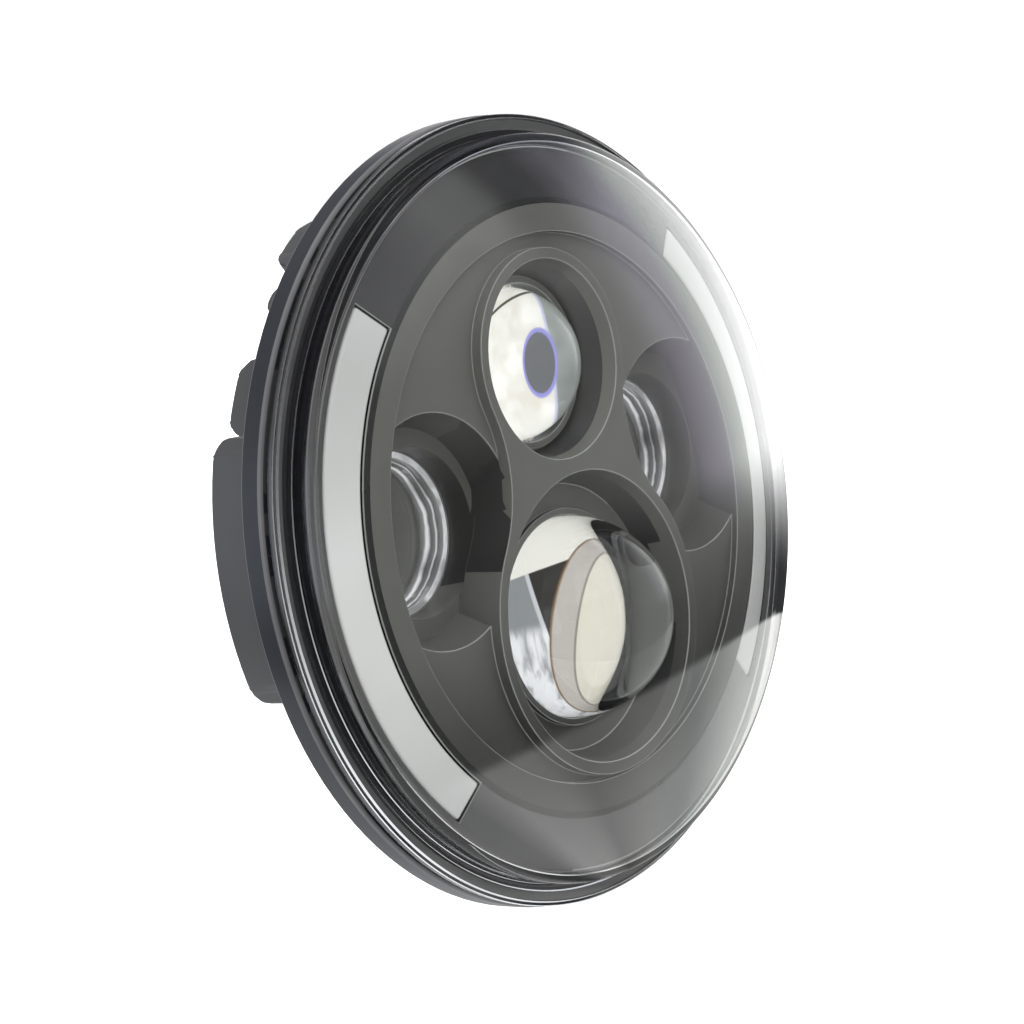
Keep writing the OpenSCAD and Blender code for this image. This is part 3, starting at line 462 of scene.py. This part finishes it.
def turned(name, profile, around=240, centre=(0, 0), closed=True, sharp=30, zones=()):
    """A piece turned about the lamp's axis, or about a parallel axis at centre.
    The profile runs through (radius, height) points in millimetres. Faces within one of
    the zones, each (radius, height, radius, height, material), get that material."""
    work = bmesh.new()
    rings = []
    for r, h in profile:
        if r < 1e-6:
            rings.append([work.verts.new((centre[0] * MM, -h * MM, centre[1] * MM))])
            continue
        rings.append([work.verts.new((
            (centre[0] + r * math.cos(math.tau * i / around)) * MM, -h * MM,
            (centre[1] + r * math.sin(math.tau * i / around)) * MM)) for i in range(around)])
    spans = list(zip(rings, rings[1:] + (rings[:1] if closed else [])))
    for a, b in spans:
        if len(a) == 1 and len(b) == 1:
            continue
        for i in range(around):
            j = (i + 1) % around
            corner = [a[i % len(a)], a[j % len(a)], b[j % len(b)], b[i % len(b)]]
            face = []
            for v in corner:
                if v not in face:
                    face.append(v)
            made = work.faces.new(face)
            r, h = ((profile[rings.index(a)][k] + profile[rings.index(b)][k]) / 2 for k in (0, 1))
            made.material_index = max([0] + [
                m for r0, h0, r1, h1, m in zones if r0 <= r <= r1 and h0 <= h <= h1])
    bmesh.ops.recalc_face_normals(work, faces=work.faces)
    mesh = bpy.data.meshes.new(name)
    work.to_mesh(mesh)
    work.free()
    mesh.shade_smooth()
    mesh.set_sharp_from_angle(angle=math.radians(sharp))
    piece = bpy.data.objects.new(name, mesh)
    scene.collection.objects.link(piece)
    return piece


lens_r = 83.6
lens_z = 7.0
lens_t = 2.6
glue_gap = 0.03
flange_r = 88.6
flange_top = 9.2
flange_foot = 8.8
shoulder_z = 15.2
shoulder_r = 2.5
dome_rise = 22.0
dome_r = (lens_r ** 2 + dome_rise ** 2) / (2 * dome_rise)
dome_z = shoulder_z + dome_rise - dome_r


def dome_arc(wall_r, ball_r, corner_r, steps=56, corner_steps=8):
    """The wall's top, the shoulder and the dome, from the wall to the axis."""
    centre_r = wall_r - corner_r
    centre_h = dome_z + math.sqrt((ball_r - corner_r) ** 2 - centre_r ** 2)
    meet = math.atan2(centre_h - dome_z, centre_r)
    arc = [(centre_r + corner_r * math.cos(meet * i / corner_steps),
            centre_h + corner_r * math.sin(meet * i / corner_steps))
           for i in range(corner_steps + 1)]
    for i in range(1, steps + 1):
        angle = meet + (math.pi / 2 - meet) * i / steps
        arc.append((ball_r * math.cos(angle) if i < steps else 0.0,
                    dome_z + ball_r * math.sin(angle)))
    return arc


lens_outside = dome_arc(lens_r, dome_r, shoulder_r)
lens_inside = dome_arc(lens_r - lens_t, dome_r - lens_t, 1.0)
lens_under = lens_z + glue_gap
lens_foot = rounded([
    (lens_r - lens_t, lens_under, 0), (flange_r, lens_under, 0.15), (flange_r, 8.6, 0.2),
    (87.8, 8.6, 0.12), (87.6, flange_top, 0.2), (85.3, flange_top, 0.2),
    (85.0, flange_foot, 0.15)]) + [
    (lens_r + 0.3, flange_foot), (lens_r + 0.08, flange_foot + 0.1), (lens_r, flange_top)]
front_lens = turned("clear_front_lens", lens_foot + lens_outside + lens_inside[::-1],
                    zones=((88.3, 8.3, 88.7, 8.7, 1), (87.5, 8.7, 87.75, 9.3, 1),
                           (85.0, 8.85, 85.3, 9.3, 1), (83.5, 8.75, 83.75, 9.3, 1),
                           (82.0, 6.9, 88.4, 7.1, 2)))


def clear(name, ior, tint, shadow_tint):
    """Clear plastic or glass that bends what is seen through it and lets light in."""
    paint = Paint(name)
    glass = paint.add("ShaderNodeBsdfPrincipled", Base_Color=tint,
                      Roughness=paint.spread(paint.noise(40, 2), 0.0, 0.012),
                      IOR=ior, Transmission_Weight=1.0)
    through = paint.add("ShaderNodeBsdfTransparent", Color=shadow_tint)
    path = paint.add("ShaderNodeLightPath").outputs
    soft = paint.sum("MAXIMUM", path["Is Shadow Ray"], path["Is Diffuse Ray"])
    return paint.surface(paint.blend(soft, glass, through))


def lit_edge(name, colour, share, glow, low, high):
    """The polished edge of a clear moulding, with a painted highlight: an emission paints a glow
    on it, which fades from low to high, so the edge is painted brighter lower down."""
    paint = Paint(name)
    cloud = paint.ramp(paint.noise(12, 2),
                       [(0.38, tuple(0.7 * c for c in colour)), (0.62, colour)])
    level = paint.split()[2]
    gloss = paint.add("ShaderNodeBsdfPrincipled", Roughness=0.12, Base_Color=cloud,
                      Emission_Color=cloud,
                      Emission_Strength=paint.step(level, low, high, glow, 0.1 * glow))
    glass = paint.add("ShaderNodeBsdfPrincipled", Base_Color=(0.97, 0.98, 0.985),
                      Roughness=0.02, IOR=1.56, Transmission_Weight=1.0)
    return paint.surface(paint.blend(paint.step(level, low, high, share, 0.15 * share),
                                     glass, gloss))


def glue():
    """Glue under the flange: black, with a grey bead towards the outside. It glows a little:
    painted light.
    """
    paint = Paint("glue under the flange with painted glow")
    x, _, z = paint.split()
    r = paint.sum("SQRT", paint.sum("ADD", paint.sum("MULTIPLY", x, x),
                                    paint.sum("MULTIPLY", z, z)))
    bead = paint.sum("MULTIPLY", paint.step(r, 0.0852, 0.0856), paint.step(r, 0.0876, 0.0872))
    cloud = paint.ramp(paint.noise(30, 3), [(0.35, (0.050, 0.050, 0.049)),
                                            (0.65, (0.070, 0.070, 0.068))])
    seen = paint.tint(bead, (0.006, 0.006, 0.007), cloud)
    return paint.gloss(Base_Color=seen, Roughness=0.5, Emission_Color=seen,
                       Emission_Strength=0.4)


# The flange's edges carry a painted highlight that glows, brighter lower down, and the glue under
# the flange glows as painted light.
give(front_lens, clear("clear polycarbonate", 1.56, (0.97, 0.98, 0.985), (0.93, 0.94, 0.95)),
     lit_edge("polished lens edge with painted glow", (0.85, 0.87, 0.9), 0.75, 0.35, -0.04, 0.05),
     glue())
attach(front_lens, "root")
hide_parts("front_lens")

# The bezel
# One grey moulding with a fine satin grain: ring, land, sunk face, raised
# column and four bowls. Screws hold it from behind.
dusk = (0.012, 0.012, 0.013)
step_r = 67.3
band_r = 68.8
bowl_top = 12.5


def satin(name, dark, light, rough, grain=0.18, top_shade=0.0, bottom_shade=0.0, under=0.0):
    """Satin plastic with a fine moulded grain, with painted shade: it is darkened towards the
    top, towards the bottom, and where it faces up or left, away from the sheet's light."""
    paint = Paint(name)
    cloud = paint.noise(22, 3)
    base = paint.ramp(cloud, [(0.35, dark), (0.65, light)])
    if top_shade:
        base = paint.tint(paint.step(paint.split()[2], -0.02, 0.07, 0.0, top_shade), base, dusk)
    if bottom_shade:
        base = paint.tint(paint.step(paint.split()[2], -0.010, -0.045, 0.0, bottom_shade), base, dusk)
    if under:
        normal = paint.add("ShaderNodeNewGeometry").outputs["Normal"]
        facing = paint.vector("DOT_PRODUCT", normal, (-0.6, 0.0, 0.8))
        base = paint.tint(paint.step(facing, -0.7, 0.5, 0.0, under), base, dusk)
    return paint.gloss(Base_Color=base,
                       Roughness=paint.spread(cloud, rough - 0.04, rough + 0.04),
                       Normal=paint.bump(paint.noise(2200, 2), grain, 0.00003))


def bezel_zone(x, r, h, front):
    """Face, band between the strips, step beside them, bowl walls, skirt."""
    if r > step_r:
        return 4 if front < 0.3 else 1 if r > band_r else 2
    return 3 if front < 0.9 and h < bowl_top and abs(x) < 30 else 0


# Painted shade and light: the face darkens towards the bottom, the band between the strips
# towards its top and bottom, the step beside the strips is painted dark as shade, and the bowl
# walls darken where they face up or left. The rounded edges are painted lighter as a highlight,
# but not inside the side bowls.
bezel = dressed("bezel", 0.2, zone=bezel_zone, materials=(
    satin("satin grey moulding", (0.142, 0.141, 0.124), (0.160, 0.159, 0.141), 0.34, bottom_shade=0.6),
    satin("band in painted shade", (0.130, 0.126, 0.124), (0.150, 0.144, 0.142), 0.22, 0.05, 0.75, 0.3),
    satin("step in painted shade", (0.030, 0.030, 0.028), (0.040, 0.040, 0.037), 0.28, 0.05),
    satin("bowl wall", (0.125, 0.125, 0.112), (0.145, 0.145, 0.131), 0.30, under=0.85),
    satin("black skirt", (0.006, 0.006, 0.009), (0.009, 0.009, 0.013), 0.25),
    satin("bezel edge painted highlight", (0.27, 0.27, 0.25), (0.34, 0.34, 0.32), 0.22, 0.05)),
    plain=lambda x, h: abs(x) > 22 and h < 12.8)
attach(bezel, "root")
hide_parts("bezel")

# The light strips
# Two curved guides of moulded milky polycarbonate, each hooked under the bezel.
# The emitters on the boards behind them light them evenly.
strip_paint = Paint("milky strip")
strip_level = strip_paint.split()[2]
strip_white = strip_paint.ramp(strip_paint.noise(60, 3), [(0.3, (0.73, 0.72, 0.68)),
                                                          (0.7, (0.77, 0.76, 0.73))])
# Painted shade: the strips darken towards their top and bottom ends.
for start, end, share in ((0.0, 0.045, 0.42), (-0.01, -0.06, 0.36)):
    strip_white = strip_paint.tint(strip_paint.step(strip_level, start, end, 0.0, share),
                                   strip_white, (0.30, 0.30, 0.29))
milky = strip_paint.gloss(Base_Color=strip_white, Roughness=0.3,
                          Normal=strip_paint.bump(strip_paint.noise(900, 2), 0.1, 0.00005))
for side in ("left", "right"):
    strip = dressed("light_guide_" + side, 0.9, segments=4, materials=(milky,))
    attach(strip, "root")
    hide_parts("light_guide_" + side)

# The projector lenses
# Two solid ball faced lenses of optical glass with flat polished backs. The holders
# grip them by their thin flanges.
high_at = 33.2
low_at = -25.0
lens_seat = 4.0
foot_t = 2.5
foot_edge = 0.3
optic = clear("optical glass", 1.5, (0.99, 0.99, 0.985), (0.95, 0.95, 0.95))


def ball_lens(name, centre, ball_r, height, foot_r, steps=64):
    """A projector lens: flat back, flange and the ball face, which is height high."""
    low = lens_seat - foot_t
    ball_h = low + height - ball_r
    start = math.asin((lens_seat - ball_h) / ball_r)
    profile = [(0.0, low), (foot_r - foot_edge, low), (foot_r, low + foot_edge),
               (foot_r, lens_seat - foot_edge), (foot_r - foot_edge, lens_seat)]
    for i in range(steps + 1):
        angle = start + (math.pi / 2 - start) * i / steps
        profile.append((ball_r * math.cos(angle) if i < steps else 0.0,
                        ball_h + ball_r * math.sin(angle)))
    return turned(name, profile, 192, (0, centre), closed=False,
                  zones=((0, low - 0.1, foot_r, low + 0.1, 1),))


high_lens = ball_lens("high_beam_lens", high_at, ball_r=17.5, height=16.9, foot_r=18.7)
low_lens = ball_lens("low_beam_lens", low_at, ball_r=22.7, height=28.0, foot_r=23.9)


def painted_bowl_view():
    """A painted, glowing view of the lit bowl that fills the high beam's lens, on its flat back:
    cream, with the emitter's dark oval, a thin painted shadow above it and the grey tube at the
    right."""
    paint = Paint("painted view of the lit bowl")
    x, _, z = paint.split()
    x = paint.sum("MULTIPLY", x, 1 / MM)
    z = paint.sum("MULTIPLY_ADD", z, 1 / MM, -high_at)
    cream = paint.ramp(paint.noise(260, 2), [(0.35, (0.80, 0.77, 0.69)),
                                             (0.6, (0.98, 0.97, 0.90))])
    tilted = paint.sum("MULTIPLY_ADD", z, -0.12, paint.sum("ADD", x, -6.7))
    across = paint.sum("DIVIDE", tilted, 2.7)
    along = paint.sum("DIVIDE", paint.sum("ADD", z, 1.0), 4.1)
    oval = paint.sum("ADD", paint.sum("MULTIPLY", across, across),
                     paint.sum("MULTIPLY", along, along))
    off = paint.sum("ADD", z, -2.0)
    edge = paint.sum("MULTIPLY_ADD", paint.sum("MULTIPLY", off, off), 0.013, x)
    arc = paint.sum("ADD", x, -4.0)
    arc = paint.sum("MULTIPLY_ADD", paint.sum("MULTIPLY", arc, arc), 0.03, z)
    seen = paint.tint(paint.sum("MULTIPLY", paint.step(arc, 8.8, 9.1), paint.step(arc, 9.6, 9.3)),
                      cream, (0.07, 0.065, 0.05))
    seen = paint.tint(paint.step(edge, 8.5, 8.9), seen, (0.62, 0.64, 0.80))
    tube = paint.ramp(paint.noise(160, 2), [(0.4, (0.24, 0.26, 0.25)),
                                            (0.7, (0.40, 0.43, 0.40))])
    seen = paint.tint(paint.step(edge, 8.9, 9.3), seen, tube)
    seen = paint.tint(paint.step(oval, 1.35, 1.1), seen, (0.33, 0.32, 0.72))
    seen = paint.tint(paint.step(oval, 1.0, 0.85), seen, (0.165, 0.17, 0.175))
    return paint.gloss(Base_Color=seen, Roughness=0.5, Specular_IOR_Level=0.0,
                       Emission_Color=seen, Emission_Strength=0.55)


# The high beam lens's flat back carries the painted, glowing view of the bowl behind it.
give(high_lens, optic, painted_bowl_view())
give(low_lens, optic, optic)
for piece, node in ((high_lens, "high_lens"), (low_lens, "low_lens")):
    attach(piece, "root")
    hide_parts(node)

# The side lenses
# Clear moulded cones with a dished front and a hollow over the emitter. Each has a
# holder of its own behind the bezel.
side_at = (42.0, 4.4)
side_rim_h = -3.0
side_dish_h = -9.5
side_back_h = -20.9
side_hollow_h = -17.9


def glowing_ring_paint():
    """The wall of the dish, painted with thin bright rings that glow: a painted highlight."""
    paint = Paint("dish wall with painted glowing rings")
    deep = paint.sum("DIVIDE", paint.sum("ADD", paint.split()[1], -0.003), 0.0064)
    cloud = paint.noise(70, 3)
    deep = paint.sum("MULTIPLY_ADD", paint.sum("ADD", cloud, -0.5), 0.6, deep)
    rings = paint.ramp(deep, [(at, (c, c, 1.02 * c)) for at, c in (
        (0.0, 1.0), (0.06, 0.30), (0.28, 0.10), (0.36, 0.85), (0.41, 0.22), (0.58, 0.12),
        (0.68, 0.95), (0.74, 1.0), (0.80, 0.30), (1.0, 0.12))])
    rings = paint.tint(1.0, rings, paint.step(cloud, 0.35, 0.6, 0.35, 1.1), "MULTIPLY")
    shine = paint.add("ShaderNodeBsdfPrincipled", Roughness=0.12, Base_Color=rings,
                      Emission_Color=rings, Emission_Strength=0.75)
    glass = paint.add("ShaderNodeBsdfPrincipled", Base_Color=(0.97, 0.98, 0.985),
                      Roughness=0.02, IOR=1.5, Transmission_Weight=1.0)
    return paint.surface(paint.blend(0.65, glass, shine))


# The dish walls of the side lenses get painted glowing rings as their highlight.
ring_glow = glowing_ring_paint()
for side, sign in (("left", -1), ("right", 1)):
    side_lens = turned("side_beam_lens_" + side, rounded([
        (0.0, side_dish_h, 0), (15.5, side_dish_h, 0.4), (16.7, side_rim_h, 0.4),
        (18.1, side_rim_h, 0.4), (18.1, -10.9, 0.5), (8.0, side_back_h, 0.4),
        (3.6, side_back_h, 0.3), (3.6, side_hollow_h, 0.6), (0.0, side_hollow_h, 0)]),
        160, (sign * side_at[0], side_at[1]), closed=False,
        zones=((15.6, -9.2, 18.0, -2.9, 1),))
    give(side_lens, optic, ring_glow)
    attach(side_lens, "root")
    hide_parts("side_lens_" + side)

# The holders
# Moulded tubes and cones of glass filled nylon that carry the lenses and the low
# beam's shield. Screws hold them to the shelf of the casting.
holder_black = mottled("black holder", 90, (0.020, 0.020, 0.021), (0.030, 0.030, 0.031),
                       grain=1500, depth=0.00004, Roughness=0.45)
grey_cone = satin("grey cone", (0.30, 0.30, 0.28), (0.36, 0.36, 0.34), 0.36)
for name in ("side_holder_left", "side_holder_right", "cutoff_shield", "low_holder"):
    give(nodes[name], grey_cone)
give(nodes["high_holder"], holder_black)

# The gland and the vent
# Black nylon fittings in the rear cover: the gland grips the lead in its rubber
# sleeve, with a locknut inside, and the small vent lets the lamp breathe.
for name in ("gland_body", "gland_nut", "gland_locknut", "breather_vent"):
    piece = dressed(name, 0.2, materials=(holder_black,))
    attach(piece, "root")
    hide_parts(name)

# The reflectors
# Moulded bowls with a bright vapour plating inside. They stand behind the projector
# lenses, over the light boards.
plating = mottled("vapour plating", 30, (0.86, 0.85, 0.82), (0.92, 0.91, 0.88), detail=2,
                  Metallic=1.0, Roughness=0.12)
for name in ("low_reflector", "high_reflector"):
    give(nodes[name], plating)

# The boards and their parts
# Green fibreglass boards for the strips and the driver, white aluminium boards for
# the beams, and the driver's dark choke and capacitors. Screws hold the boards.
board_green = mottled("green board", 160, (0.02, 0.09, 0.045), (0.03, 0.12, 0.06),
                      spread=0.15, Roughness=0.4)
for name in ("drl_board_left", "drl_board_right", "driver_board"):
    give(nodes[name], board_green)
board_white = mottled("white light board", 160, (0.78, 0.78, 0.76), (0.84, 0.84, 0.82),
                      spread=0.15, Roughness=0.4)
for name in ("low_led_board", "high_led_board", "side_led_board_left", "side_led_board_right"):
    give(nodes[name], board_white)
dark_part = mottled("dark component", 200, (0.03, 0.03, 0.032), (0.05, 0.05, 0.052), detail=2,
                    spread=0.15, Roughness=0.5)
for name in ("driver_choke", "driver_capacitors"):
    give(nodes[name], dark_part)

# The screws
# Zinc plated pan head screws with a cross slot, driven along the lamp's axis. One
# tree lays each set out at the places of the set's CAD solids.
slot_wide = 0.7
slot_long = 3.2


def solids(node):
    """The corners of each solid of a CAD node, as lists of points in metres."""
    work = bmesh.new()
    work.from_mesh(nodes[node].data)
    bmesh.ops.remove_doubles(work, verts=work.verts, dist=1e-6)
    left = set(work.verts)
    groups = []
    while left:
        edge = [left.pop()]
        group = []
        while edge:
            vert = edge.pop()
            group.append(vert.co.copy())
            for link in vert.link_edges:
                other = link.other_vert(vert)
                if other in left:
                    left.remove(other)
                    edge.append(other)
        groups.append(group)
    work.free()
    return groups


class Tree(Nodes):
    """A Geometry Nodes tree with named inputs that lays copies of a part on points."""

    def __init__(self, name, inputs):
        self.group = bpy.data.node_groups.new(name, "GeometryNodeTree")
        super().__init__(self.group)
        self.sockets = {}
        for label, kind in [("Geometry", "Geometry")] + [(n, k) for n, k, _ in inputs]:
            self.sockets[label] = self.group.interface.new_socket(
                label, in_out="INPUT", socket_type="NodeSocket" + kind)
        self.group.interface.new_socket("Geometry", in_out="OUTPUT",
                                        socket_type="NodeSocketGeometry")
        self.values = {n: v for n, _, v in inputs}
        self.given = self.add("NodeGroupInput").outputs

    def half(self, value):
        return self.sum("MULTIPLY", value, 0.5)

    def at(self, shape, z, scale=None):
        """A shape moved along its axis, and squashed."""
        node = self.add("GeometryNodeTransform", Geometry=shape)
        self.put(node, "Translation", self.add("ShaderNodeCombineXYZ", Z=z).outputs[0])
        if scale is not None:
            self.put(node, "Scale", self.add("ShaderNodeCombineXYZ", X=1.0, Y=1.0,
                                             Z=scale).outputs[0])
        return node.outputs[0]

    def join(self, *shapes):
        node = self.add("GeometryNodeJoinGeometry")
        for shape in reversed(shapes):
            self.tree.links.new(shape, node.inputs[0])
        return node.outputs[0]

    def laid(self, part, turn):
        """Copies of the part, its axis along each point's axis, turned about it."""
        axis = self.add("GeometryNodeInputNamedAttribute", {"data_type": "FLOAT_VECTOR"},
                        Name="axis").outputs[0]
        aim = self.add("FunctionNodeAlignRotationToVector", {"axis": "Z"}, Vector=axis)
        spin = self.add("FunctionNodeAxisAngleToRotation", Axis=(0, 0, 1), Angle=turn)
        both = self.add("FunctionNodeRotateRotation", {"rotation_space": "LOCAL"})
        self.tree.links.new(aim.outputs[0], both.inputs[0])
        self.tree.links.new(spin.outputs[0], both.inputs[1])
        copies = self.add("GeometryNodeInstanceOnPoints", Points=self.given["Geometry"],
                          Instance=part, Rotation=both.outputs[0])
        real = self.add("GeometryNodeRealizeInstances", Geometry=copies.outputs[0])
        done = self.add("GeometryNodeSetMaterial", Geometry=real.outputs[0],
                        Material=self.given["Material"])
        out = self.add("NodeGroupOutput")
        self.tree.links.new(done.outputs[0], out.inputs[0])

    def grow(self, name, spots, material, turns=None, **changes):
        """A plain mesh object of the copies at (place, axis) spots."""
        mesh = bpy.data.meshes.new(name + "_spots")
        mesh.from_pydata([place for place, _ in spots], [], [])
        axes = mesh.attributes.new("axis", "FLOAT_VECTOR", "POINT")
        for slot, (_, axis) in zip(axes.data, spots):
            slot.vector = axis
        if turns:
            mesh.attributes.new("turn", "FLOAT", "POINT").data.foreach_set("value", turns)
        holder = bpy.data.objects.new(name + "_spots", mesh)
        scene.collection.objects.link(holder)
        modifier = holder.modifiers.new("copies", "NODES")
        modifier.node_group = self.group
        for label, value in {**self.values, **changes, "Material": material}.items():
            modifier[self.sockets[label].identifier] = value
        view = bpy.context.evaluated_depsgraph_get()
        result = bpy.data.meshes.new_from_object(holder.evaluated_get(view))
        result.name = name
        bpy.data.objects.remove(holder)
        result.shade_smooth()
        result.set_sharp_from_angle(angle=math.radians(35))
        piece = bpy.data.objects.new(name, result)
        scene.collection.objects.link(piece)
        return piece


def screw_tree():
    tree = Tree("pan head screws", [
        ("Material", "Material", None), ("Head Radius", "Float", 2.7 * MM),
        ("Head Height", "Float", 1.8 * MM), ("Slot Width", "Float", slot_wide * MM),
        ("Slot Length", "Float", slot_long * MM), ("Shank Radius", "Float", 1.4 * MM),
        ("Shank Length", "Float", 6 * MM), ("Seed", "Int", 3)])
    given = tree.given
    tall = given["Head Height"]
    rim_high = tree.half(tall)
    rim = tree.at(tree.add("GeometryNodeMeshCylinder", Vertices=40, Radius=given["Head Radius"],
                           Depth=rim_high).outputs[0], tree.half(rim_high))
    ball = tree.add("GeometryNodeMeshUVSphere", Segments=40, Rings=20,
                    Radius=given["Head Radius"]).outputs[0]
    cap = tree.at(ball, rim_high, tree.sum("DIVIDE", rim_high, given["Head Radius"]))
    head = tree.add("GeometryNodeMeshBoolean", {"operation": "UNION"})
    tree.tree.links.new(rim, head.inputs["Mesh 2"])
    tree.tree.links.new(cap, head.inputs["Mesh 2"])
    cut = tree.add("GeometryNodeMeshBoolean", {"operation": "DIFFERENCE"})
    tree.tree.links.new(head.outputs[0], cut.inputs["Mesh 1"])
    for pair in (("Slot Length", "Slot Width"), ("Slot Width", "Slot Length")):
        size = tree.add("ShaderNodeCombineXYZ", X=given[pair[0]], Y=given[pair[1]],
                        Z=tall).outputs[0]
        bar = tree.add("GeometryNodeMeshCube", Size=size).outputs[0]
        tree.tree.links.new(tree.at(bar, tall), cut.inputs["Mesh 2"])
    shank = tree.at(tree.add("GeometryNodeMeshCylinder", Vertices=28,
                             Radius=given["Shank Radius"],
                             Depth=given["Shank Length"]).outputs[0],
                    tree.sum("MULTIPLY", given["Shank Length"], -0.5))
    turn = tree.add("FunctionNodeRandomValue", {"data_type": "FLOAT"})
    for label, value in (("Min", 0.0), ("Max", math.tau), ("Seed", given["Seed"])):
        socket = [i for i in turn.inputs if i.name == label and i.enabled][0]
        if isinstance(value, float):
            socket.default_value = value
        else:
            tree.tree.links.new(value, socket)
    turn = [o for o in turn.outputs if o.enabled][0]
    tree.laid(tree.join(cut.outputs[0], shank), turn)
    return tree


zinc = mottled("zinc plating", 500, (0.50, 0.50, 0.51), (0.62, 0.62, 0.63),
               Metallic=1.0, Roughness=0.32)
screws = screw_tree()
for name in ("drl_screws", "holder_screws", "bezel_screws", "driver_screws", "cover_screws"):
    spots = []
    for points in solids(name):
        x, z = ((min(p[k] for p in points) + max(p[k] for p in points)) / 2 for k in (0, 2))
        wide = [p.y for p in points if math.hypot(p.x - x, p.z - z) > 2 * MM]
        ends = min(p.y for p in points), max(p.y for p in points)
        if abs(min(wide) - ends[0]) < 1e-6:
            spots.append(((x, max(wide), z), (0, -1, 0)))
        else:
            spots.append(((x, min(wide), z), (0, 1, 0)))
    length = ends[1] - ends[0] - (max(wide) - min(wide))
    piece = screws.grow(name + "_set", spots, zinc, **{"Shank Length": length})
    give(nodes[name], zinc)
    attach(piece, "root")
    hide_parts(name)

# The emitters
# Light emitting diodes soldered to the boards: a square body with a round phosphor
# pad. One tree lays each set out at the places of the set's CAD solids.


def emitter_tree():
    tree = Tree("emitters", [("Material", "Material", None), ("Width", "Float", 3.0 * MM),
                             ("Height", "Float", 0.8 * MM)])
    wide, tall = tree.given["Width"], tree.given["Height"]
    body_high = tree.sum("MULTIPLY", tall, 0.7)
    size = tree.add("ShaderNodeCombineXYZ", X=wide, Y=wide, Z=body_high).outputs[0]
    body = tree.at(tree.add("GeometryNodeMeshCube", Size=size).outputs[0], tree.half(body_high))
    pad = tree.at(tree.add("GeometryNodeMeshCone", Vertices=32,
                           Radius_Top=tree.sum("MULTIPLY", wide, 0.36),
                           Radius_Bottom=tree.sum("MULTIPLY", wide, 0.42),
                           Depth=tall).outputs[0], 0.0)
    tree.laid(tree.join(body, pad), tree.add("GeometryNodeInputNamedAttribute",
                                             {"data_type": "FLOAT"}, Name="turn").outputs[0])
    return tree


phosphor = mottled("phosphor", 400, (0.78, 0.62, 0.10), (0.86, 0.70, 0.16), detail=2,
                   spread=0.15, Roughness=0.5)
emitters = emitter_tree()
for name in ("drl_leds", "led_emitters"):
    spots, turns = [], []
    for points in solids(name):
        middle = sum(points, Vector()) / len(points)
        corner = max(points, key=lambda p: (round(p.y, 6), p.x))
        back_y = max(p.y for p in points)
        spots.append(((middle.x, back_y, middle.z), (0, -1, 0)))
        reach = corner - middle
        turns.append(math.atan2(reach.z, reach.x) + math.pi / 4)
    width = math.hypot(reach.x, reach.z) * math.sqrt(2)
    tall = back_y - min(p.y for p in points)
    piece = emitters.grow(name + "_set", spots, phosphor, turns, Width=width, Height=tall)
    give(nodes[name], phosphor)
    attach(piece, "root")
    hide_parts(name)
